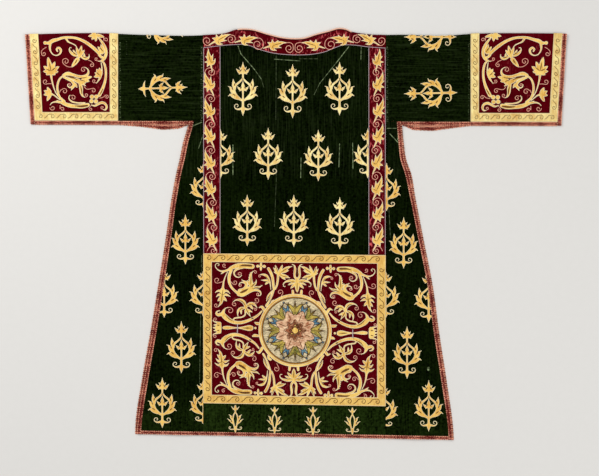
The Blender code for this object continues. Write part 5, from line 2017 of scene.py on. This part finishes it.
def cuff_place(hand):
    """The change that takes the cuff's drawing to the straight cloth of either cuff."""
    cuff = CUFF[hand]
    drawn = -HALF_SPAN - CUFF[-1]
    scale = (hand * HALF_SPAN - cuff) / drawn
    top = float(top_edge(hand * HALF_SPAN))

    def change(x, y):
        y = straight(x, y)
        lean = END_SLANT * np.clip((top - y) / (top - SLEEVE_LOW), 0.0, 1.05)
        x = (x - CUFF[-1]) / (1 + lean / drawn)
        return cuff + x * scale, y
    return change


class DALMATIC_OT_cuffs(bpy.types.Operator):
    """Lay the scrollwork on the crimson cuffs"""

    bl_idname = "dalmatic.cuffs"
    bl_label = "Scrollwork of the cuffs"

    def execute(self, context):
        for hand, word in HANDS:
            scroll = Ornaments(f"Cuff_{word}", on_sleeve(hand))
            field = under_fold(hand * (CUFF_END - BORDER), CUFF_START[hand] + hand * BORDER,
                               SLEEVE_FOOT + BORDER, 1.3)
            scroll.add(cuff_figure().moved(cuff_place(hand)), field)
            scroll.make()
        return {"FINISHED"}


# Wave cords of the yellow borders

EDGE_INSET = 0.001
WAVE_SHIFT = 0.004
# Running spirals: pitch and radius
LONG_RUN, SIDE_RUN = (0.0390, 0.0076), (0.0330, 0.0070)
CUFF_FOOT_RUN, CUFF_SIDE_RUN = (0.0328, 0.0066), (0.0328, 0.0064)


def wave_run(x0, y0, x1, y1, pitch, radius):
    """Running spirals from one point to another; a slant crosses the border to each."""
    length = math.hypot(x1 - x0, y1 - y0)
    count = max(1, round(length / pitch))
    step = length / count
    turn = math.degrees(math.atan2(-(y1 - y0), x1 - x0))
    lines = []
    for k in range(count):
        share = (k + 0.5) / count
        s = Figure(x0 + (x1 - x0) * share, y0 + (y1 - y0) * share, 1.0, turn)
        slant = ((-0.68 * step, 0.8 * radius), (-0.50 * step, 0.2 * radius),
                 (-0.33 * step, -0.75 * radius)) if k else ()
        s.curl(0.0, 0.0, radius, -110, 1, *slant)
        lines += s.tendrils
    return lines


class DALMATIC_OT_waves(bpy.types.Operator):
    """Lay the running spirals and the edge cords on the yellow borders"""

    bl_idname = "dalmatic.waves"
    bl_label = "Cords of the borders"

    def execute(self, context):
        self.wave = context.scene.dalmatic_sizes.wave
        low, high = APPAREL_LOW, APPAREL_TOP - HALF_GAP
        waves = []
        for y in (high - BORDER / 2, low + BORDER / 2):
            waves += wave_run(LEFT - WAVE_SHIFT, y, RIGHT - WAVE_SHIFT, y, *LONG_RUN)
        for x in (LEFT + BORDER / 2, RIGHT - BORDER / 2):
            waves += wave_run(x, high - BORDER, x, low + BORDER, *SIDE_RUN)
        edges = []
        for inset in (EDGE_INSET, BORDER - EDGE_INSET):
            corners = rectangle(LEFT + inset, low + inset, RIGHT - inset, high - inset)
            edges += zip(corners, corners[1:] + corners[:1])
        self.lay("Apparel_border", on_body(BORDER_HEIGHT), waves, 0.42, edges)

        foot = SLEEVE_FOOT
        for hand, word in HANDS:
            cuff, end = CUFF_START[hand], hand * CUFF_END
            near, far = hand * EDGE_INSET, hand * (BORDER - EDGE_INSET)
            y = foot + BORDER / 2
            waves = wave_run(min(end, cuff), y, max(end, cuff), y, *CUFF_FOOT_RUN)
            for x in (end - hand * BORDER / 2, cuff + hand * BORDER / 2):
                top = float(fold_shape(np.array(x))[1])
                waves += wave_run(x, top, x, foot + BORDER, *CUFF_SIDE_RUN)
            edges = []
            for x, start in ((end - near, EDGE_INSET), (end - far, BORDER),
                             (cuff + far, BORDER), (cuff + near, EDGE_INSET)):
                edges.append([(x, foot + start), (x, float(fold_shape(np.array(x))[1]))])
            for y, inset in ((foot + EDGE_INSET, near),
                             (foot + BORDER - EDGE_INSET, hand * BORDER)):
                edges.append([(end - inset, y), (cuff + inset, y)])
            self.lay(f"Cuff_border_{word}", on_sleeve(hand, SEAM_GAP + SATIN), waves, 0.33, edges)
        return {"FINISHED"}

    def lay(self, name, place, waves, share, edges):
        """The cords of one border: its running spirals and its straight edges."""
        border = Ornaments(name, place)
        border.cords("waves", waves, share * self.wave, "Brown_cord")
        lines = [smooth_line(ends, 0.006) for ends in edges]
        border.cords("edges", lines, 0.33 * self.wave, "Cream_cord")


# Roundel

ROUNDEL_BASE = BAND_CLOTH + 2.3 * SEAM_GAP
STITCH = 0.001     # unit of the roundel's drawing, metres
SPOKES = 96
# Cords of the ring: name, radius, thickness and finish
RING_CORDS = (
    ("outer_cord", RING_RADIUS - 0.0009, 0.0018, "Cream_cord"),
    ("inner_cord", ROUNDEL_RADIUS + 0.0016, 0.0018, "Cream_cord"),
    ("tan_cord", ROUNDEL_RADIUS - 0.0008, 0.0036, "Tan_cord"),
    ("dark_cord", ROUNDEL_RADIUS - 0.0030, 0.0018, "Dark_cord"),
)
# Its needlework from the ground up, each finish a little higher than the one before
NEEDLEWORK = ("Blue_leaf", "Leaf", "Petal", "Petal_deep", "Satin")
LAYER = 0.0003


def round_shell(name, inner, outer, rings, finish, swell=0.0):
    """A ring of cloth round the roundel's centre, closed in the middle if inner is 0."""
    turn = np.linspace(0, 2 * math.pi, SPOKES, endpoint=False)[:, None]
    radius = np.linspace(outer, max(inner, 1e-4), rings)[None, :]
    x = (ROUNDEL_X + radius * np.cos(turn)).ravel()
    y = (ROUNDEL_Y + radius * np.sin(turn)).ravel()
    lie = on_body(ROUNDEL_BASE)
    bulge = np.tile(swell * np.sin(math.pi * np.linspace(0, 1, rings)), SPOKES)
    high, low = lie(x, y, BAND_CLOTH + bulge), lie(x, y, 0.0)
    faces = grid_faces(SPOKES, rings, wrap=True)[:, ::-1]
    if inner:
        return shell(name, high, low, faces, [cloth_of(finish)])
    edge = np.arange(SPOKES) * rings
    hub, after, middle = edge + rings - 1, np.roll(edge, -1), len(x)
    both = [np.concatenate([side, side[hub].mean(axis=0, keepdims=True)])
            for side in (high, low)]
    cap = np.stack([hub, np.roll(hub, -1), np.full(SPOKES, middle)], axis=1)
    count = middle + 1
    rim = np.stack([edge, edge + count, after + count, after], axis=1)
    groups = [faces, cap, faces[:, ::-1] + count, cap[:, ::-1] + count, rim]
    return make_mesh(name, np.concatenate(both), groups, [cloth_of(finish)])


def roundel_figures():
    """Blue leaves, olive leaves, petals, inner petals and heart, each its own figure."""
    figures = [Figure(ROUNDEL_X, ROUNDEL_Y, STITCH) for _ in range(5)]
    blue, olive, petals, inner, heart = figures

    def at(angle, reach):
        turn = math.radians(angle)
        return reach * math.cos(turn), reach * math.sin(turn)

    for k in range(8):
        a = 45 * k
        for lean in (-1, 1):
            olive.stroke((*at(a, 40), 7), (*at(a + lean * 5, 56), 12), (*at(a + lean * 12, 70), 9),
                         (*at(a + lean * 21, 80), 0.3))
            blue.stroke((*at(a + 22.5, 44), 8), (*at(a + 22.5 + lean * 3, 62), 9),
                        (*at(a + 22.5 + lean * 9, 80), 0.3))
        olive.stroke((*at(a, 40), 8), (*at(a, 62), 9), (*at(a, 82), 0.3))
        olive.hollow((*at(a, 46), 0.5), (*at(a, 62), 1.6), (*at(a, 76), 0.4))
        petals.leaf(*at(a + 22.5, 10), *at(a + 22.5, 58), 32)
        petals.hollow((*at(a + 22.5, 26), 0.6), (*at(a + 22.5, 40), 2.0), (*at(a + 22.5, 53), 0.5))
        petals.leaf(*at(a, 10), *at(a, 46), 20)
        inner.leaf(*at(a, 3), *at(a, 31), 17)
        blue.disc(*at(a + 22.5, 83), 3.4)
        heart.disc(*at(a, 13), 3.4)
    heart.disc(0, 0, 10)
    return figures


class DALMATIC_OT_roundel(bpy.types.Operator):
    """Make the roundel: its ground, rosette and leaves, and the ring round it"""

    bl_idname = "dalmatic.roundel"
    bl_label = "Roundel"

    def execute(self, context):
        piece = round_shell("Roundel_ground", 0, ROUNDEL_RADIUS - SEAM_GAP, 14, "Ground")
        hand_over(piece, "embroidery", "roundel")
        piece = round_shell("Roundel_band", ROUNDEL_RADIUS, RING_RADIUS, 6, "Satin", 0.0004)
        hand_over(piece, "couched_ring", "roundel_ring")

        height = ROUNDEL_BASE + BAND_CLOTH
        for k, (figure, finish) in enumerate(zip(roundel_figures(), NEEDLEWORK)):
            part = Ornaments(f"Roundel_{finish}", on_body(height + LAYER * k))
            part.add(figure)
            part.make(finish, "Dark_cord")
        turn = np.linspace(0, 2 * math.pi, SPOKES + 1)
        rings = Ornaments("Roundel_ring", on_body(height))
        for word, radius, thick, finish in RING_CORDS:
            line = np.stack([ROUNDEL_X + radius * np.cos(turn),
                             ROUNDEL_Y + radius * np.sin(turn)], axis=1)
            rings.cords(word, [line], thick / 2, finish, "couched_ring")
        return {"FINISHED"}


# Stage

FLOOR_HALF, FLOOR_DROP = 6.0, 0.0006
LENS, SENSOR = 85.0, 36.0               # millimetres
VIEW_CENTRE, VIEW_WIDTH = (3.5 * DRAWN, -4.0 * DRAWN), 599 * DRAWN
# Soft lights: name, place, power and width
LAMPS = (("Key", (-1.9, 1.7, 2.6), 62.0, 1.6), ("Fill", (2.1, -1.2, 2.8), 34.0, 2.0))
SKY = 0.55


class DALMATIC_OT_stage(bpy.types.Operator):
    """Make the pale floor, the soft lights and the camera that looks straight down"""

    bl_idname = "dalmatic.stage"
    bl_label = "Stage"

    def execute(self, context):
        scene = context.scene
        scene.view_settings.view_transform = "Standard"
        floor = bpy.data.meshes.new("Floor")
        corners = rectangle(-FLOOR_HALF, -FLOOR_HALF, FLOOR_HALF, FLOOR_HALF)
        floor.from_pydata([(*corner, -FLOOR_DROP) for corner in corners], [], [(0, 1, 2, 3)])
        finish = Finish("Pale_floor", roughness=0.9, specular=0.1)
        grain = finish.noise(60.0, 2.0)
        floor.materials.append(finish.done(finish.mix(grain * 0.3, linear(226, 224, 220),
                                                      linear(216, 214, 210))))
        ground = bpy.data.objects.new("Floor", floor)
        scene.collection.objects.link(ground)

        world = bpy.data.worlds.new("Studio")
        world.use_nodes = True
        sky = world.node_tree.nodes["Background"]
        sky.inputs["Color"].default_value = (1.0, 1.0, 1.0, 1.0)
        sky.inputs["Strength"].default_value = SKY
        scene.world = world

        for name, place, power, width in LAMPS:
            lamp = bpy.data.lights.new(name, "AREA")
            lamp.energy, lamp.size = power, width
            light = bpy.data.objects.new(name, lamp)
            light.location = place
            light.rotation_euler = (-Vector(place)).to_track_quat("-Z", "Y").to_euler()
            scene.collection.objects.link(light)

        lens = bpy.data.cameras.new("Camera")
        lens.lens, lens.sensor_width = LENS, SENSOR
        camera = bpy.data.objects.new("Camera", lens)
        camera.location = (*VIEW_CENTRE, VIEW_WIDTH * LENS / SENSOR)
        scene.collection.objects.link(camera)
        scene.camera = camera
        return {"FINISHED"}


class DALMATIC_PT_panel(bpy.types.Panel):
    """Sidebar list of the dalmatic's operators and settings"""

    bl_idname = "DALMATIC_PT_panel"
    bl_label = "Dalmatic"
    bl_space_type = "VIEW_3D"
    bl_region_type = "UI"
    bl_category = "Dalmatic"

    def draw(self, context):
        for step in STEPS:
            self.layout.operator(step.bl_idname)
        for settings in (context.scene.dalmatic_sizes, context.scene.dalmatic_colours):
            for name in settings.bl_rna.properties.keys():
                if name not in ("rna_type", "name"):
                    self.layout.prop(settings, name)


STEPS = (
    DALMATIC_OT_panels,
    DALMATIC_OT_sleeves,
    DALMATIC_OT_bands,
    DALMATIC_OT_borders,
    DALMATIC_OT_galloon,
    DALMATIC_OT_motifs,
    DALMATIC_OT_vine,
    DALMATIC_OT_apparel,
    DALMATIC_OT_cuffs,
    DALMATIC_OT_waves,
    DALMATIC_OT_roundel,
    DALMATIC_OT_stage,
)
CLASSES = (DalmaticSizes, DalmaticColours, DALMATIC_PT_panel, *STEPS)


def register():
    """Register the classes and the scene's settings."""
    for thing in CLASSES:
        bpy.utils.register_class(thing)
    bpy.types.Scene.dalmatic_sizes = PointerProperty(type=DalmaticSizes)
    bpy.types.Scene.dalmatic_colours = PointerProperty(type=DalmaticColours)


def unregister():
    """Take the settings and the classes away."""
    del bpy.types.Scene.dalmatic_colours
    del bpy.types.Scene.dalmatic_sizes
    for thing in reversed(CLASSES):
        bpy.utils.unregister_class(thing)


def main():
    """Register the classes and run every step."""
    register()
    for step in STEPS:
        group, name = step.bl_idname.split(".")
        if getattr(getattr(bpy.ops, group), name)() != {"FINISHED"}:
            raise RuntimeError(f"{step.bl_label} did not finish")


if __name__ == "__main__":
    main()
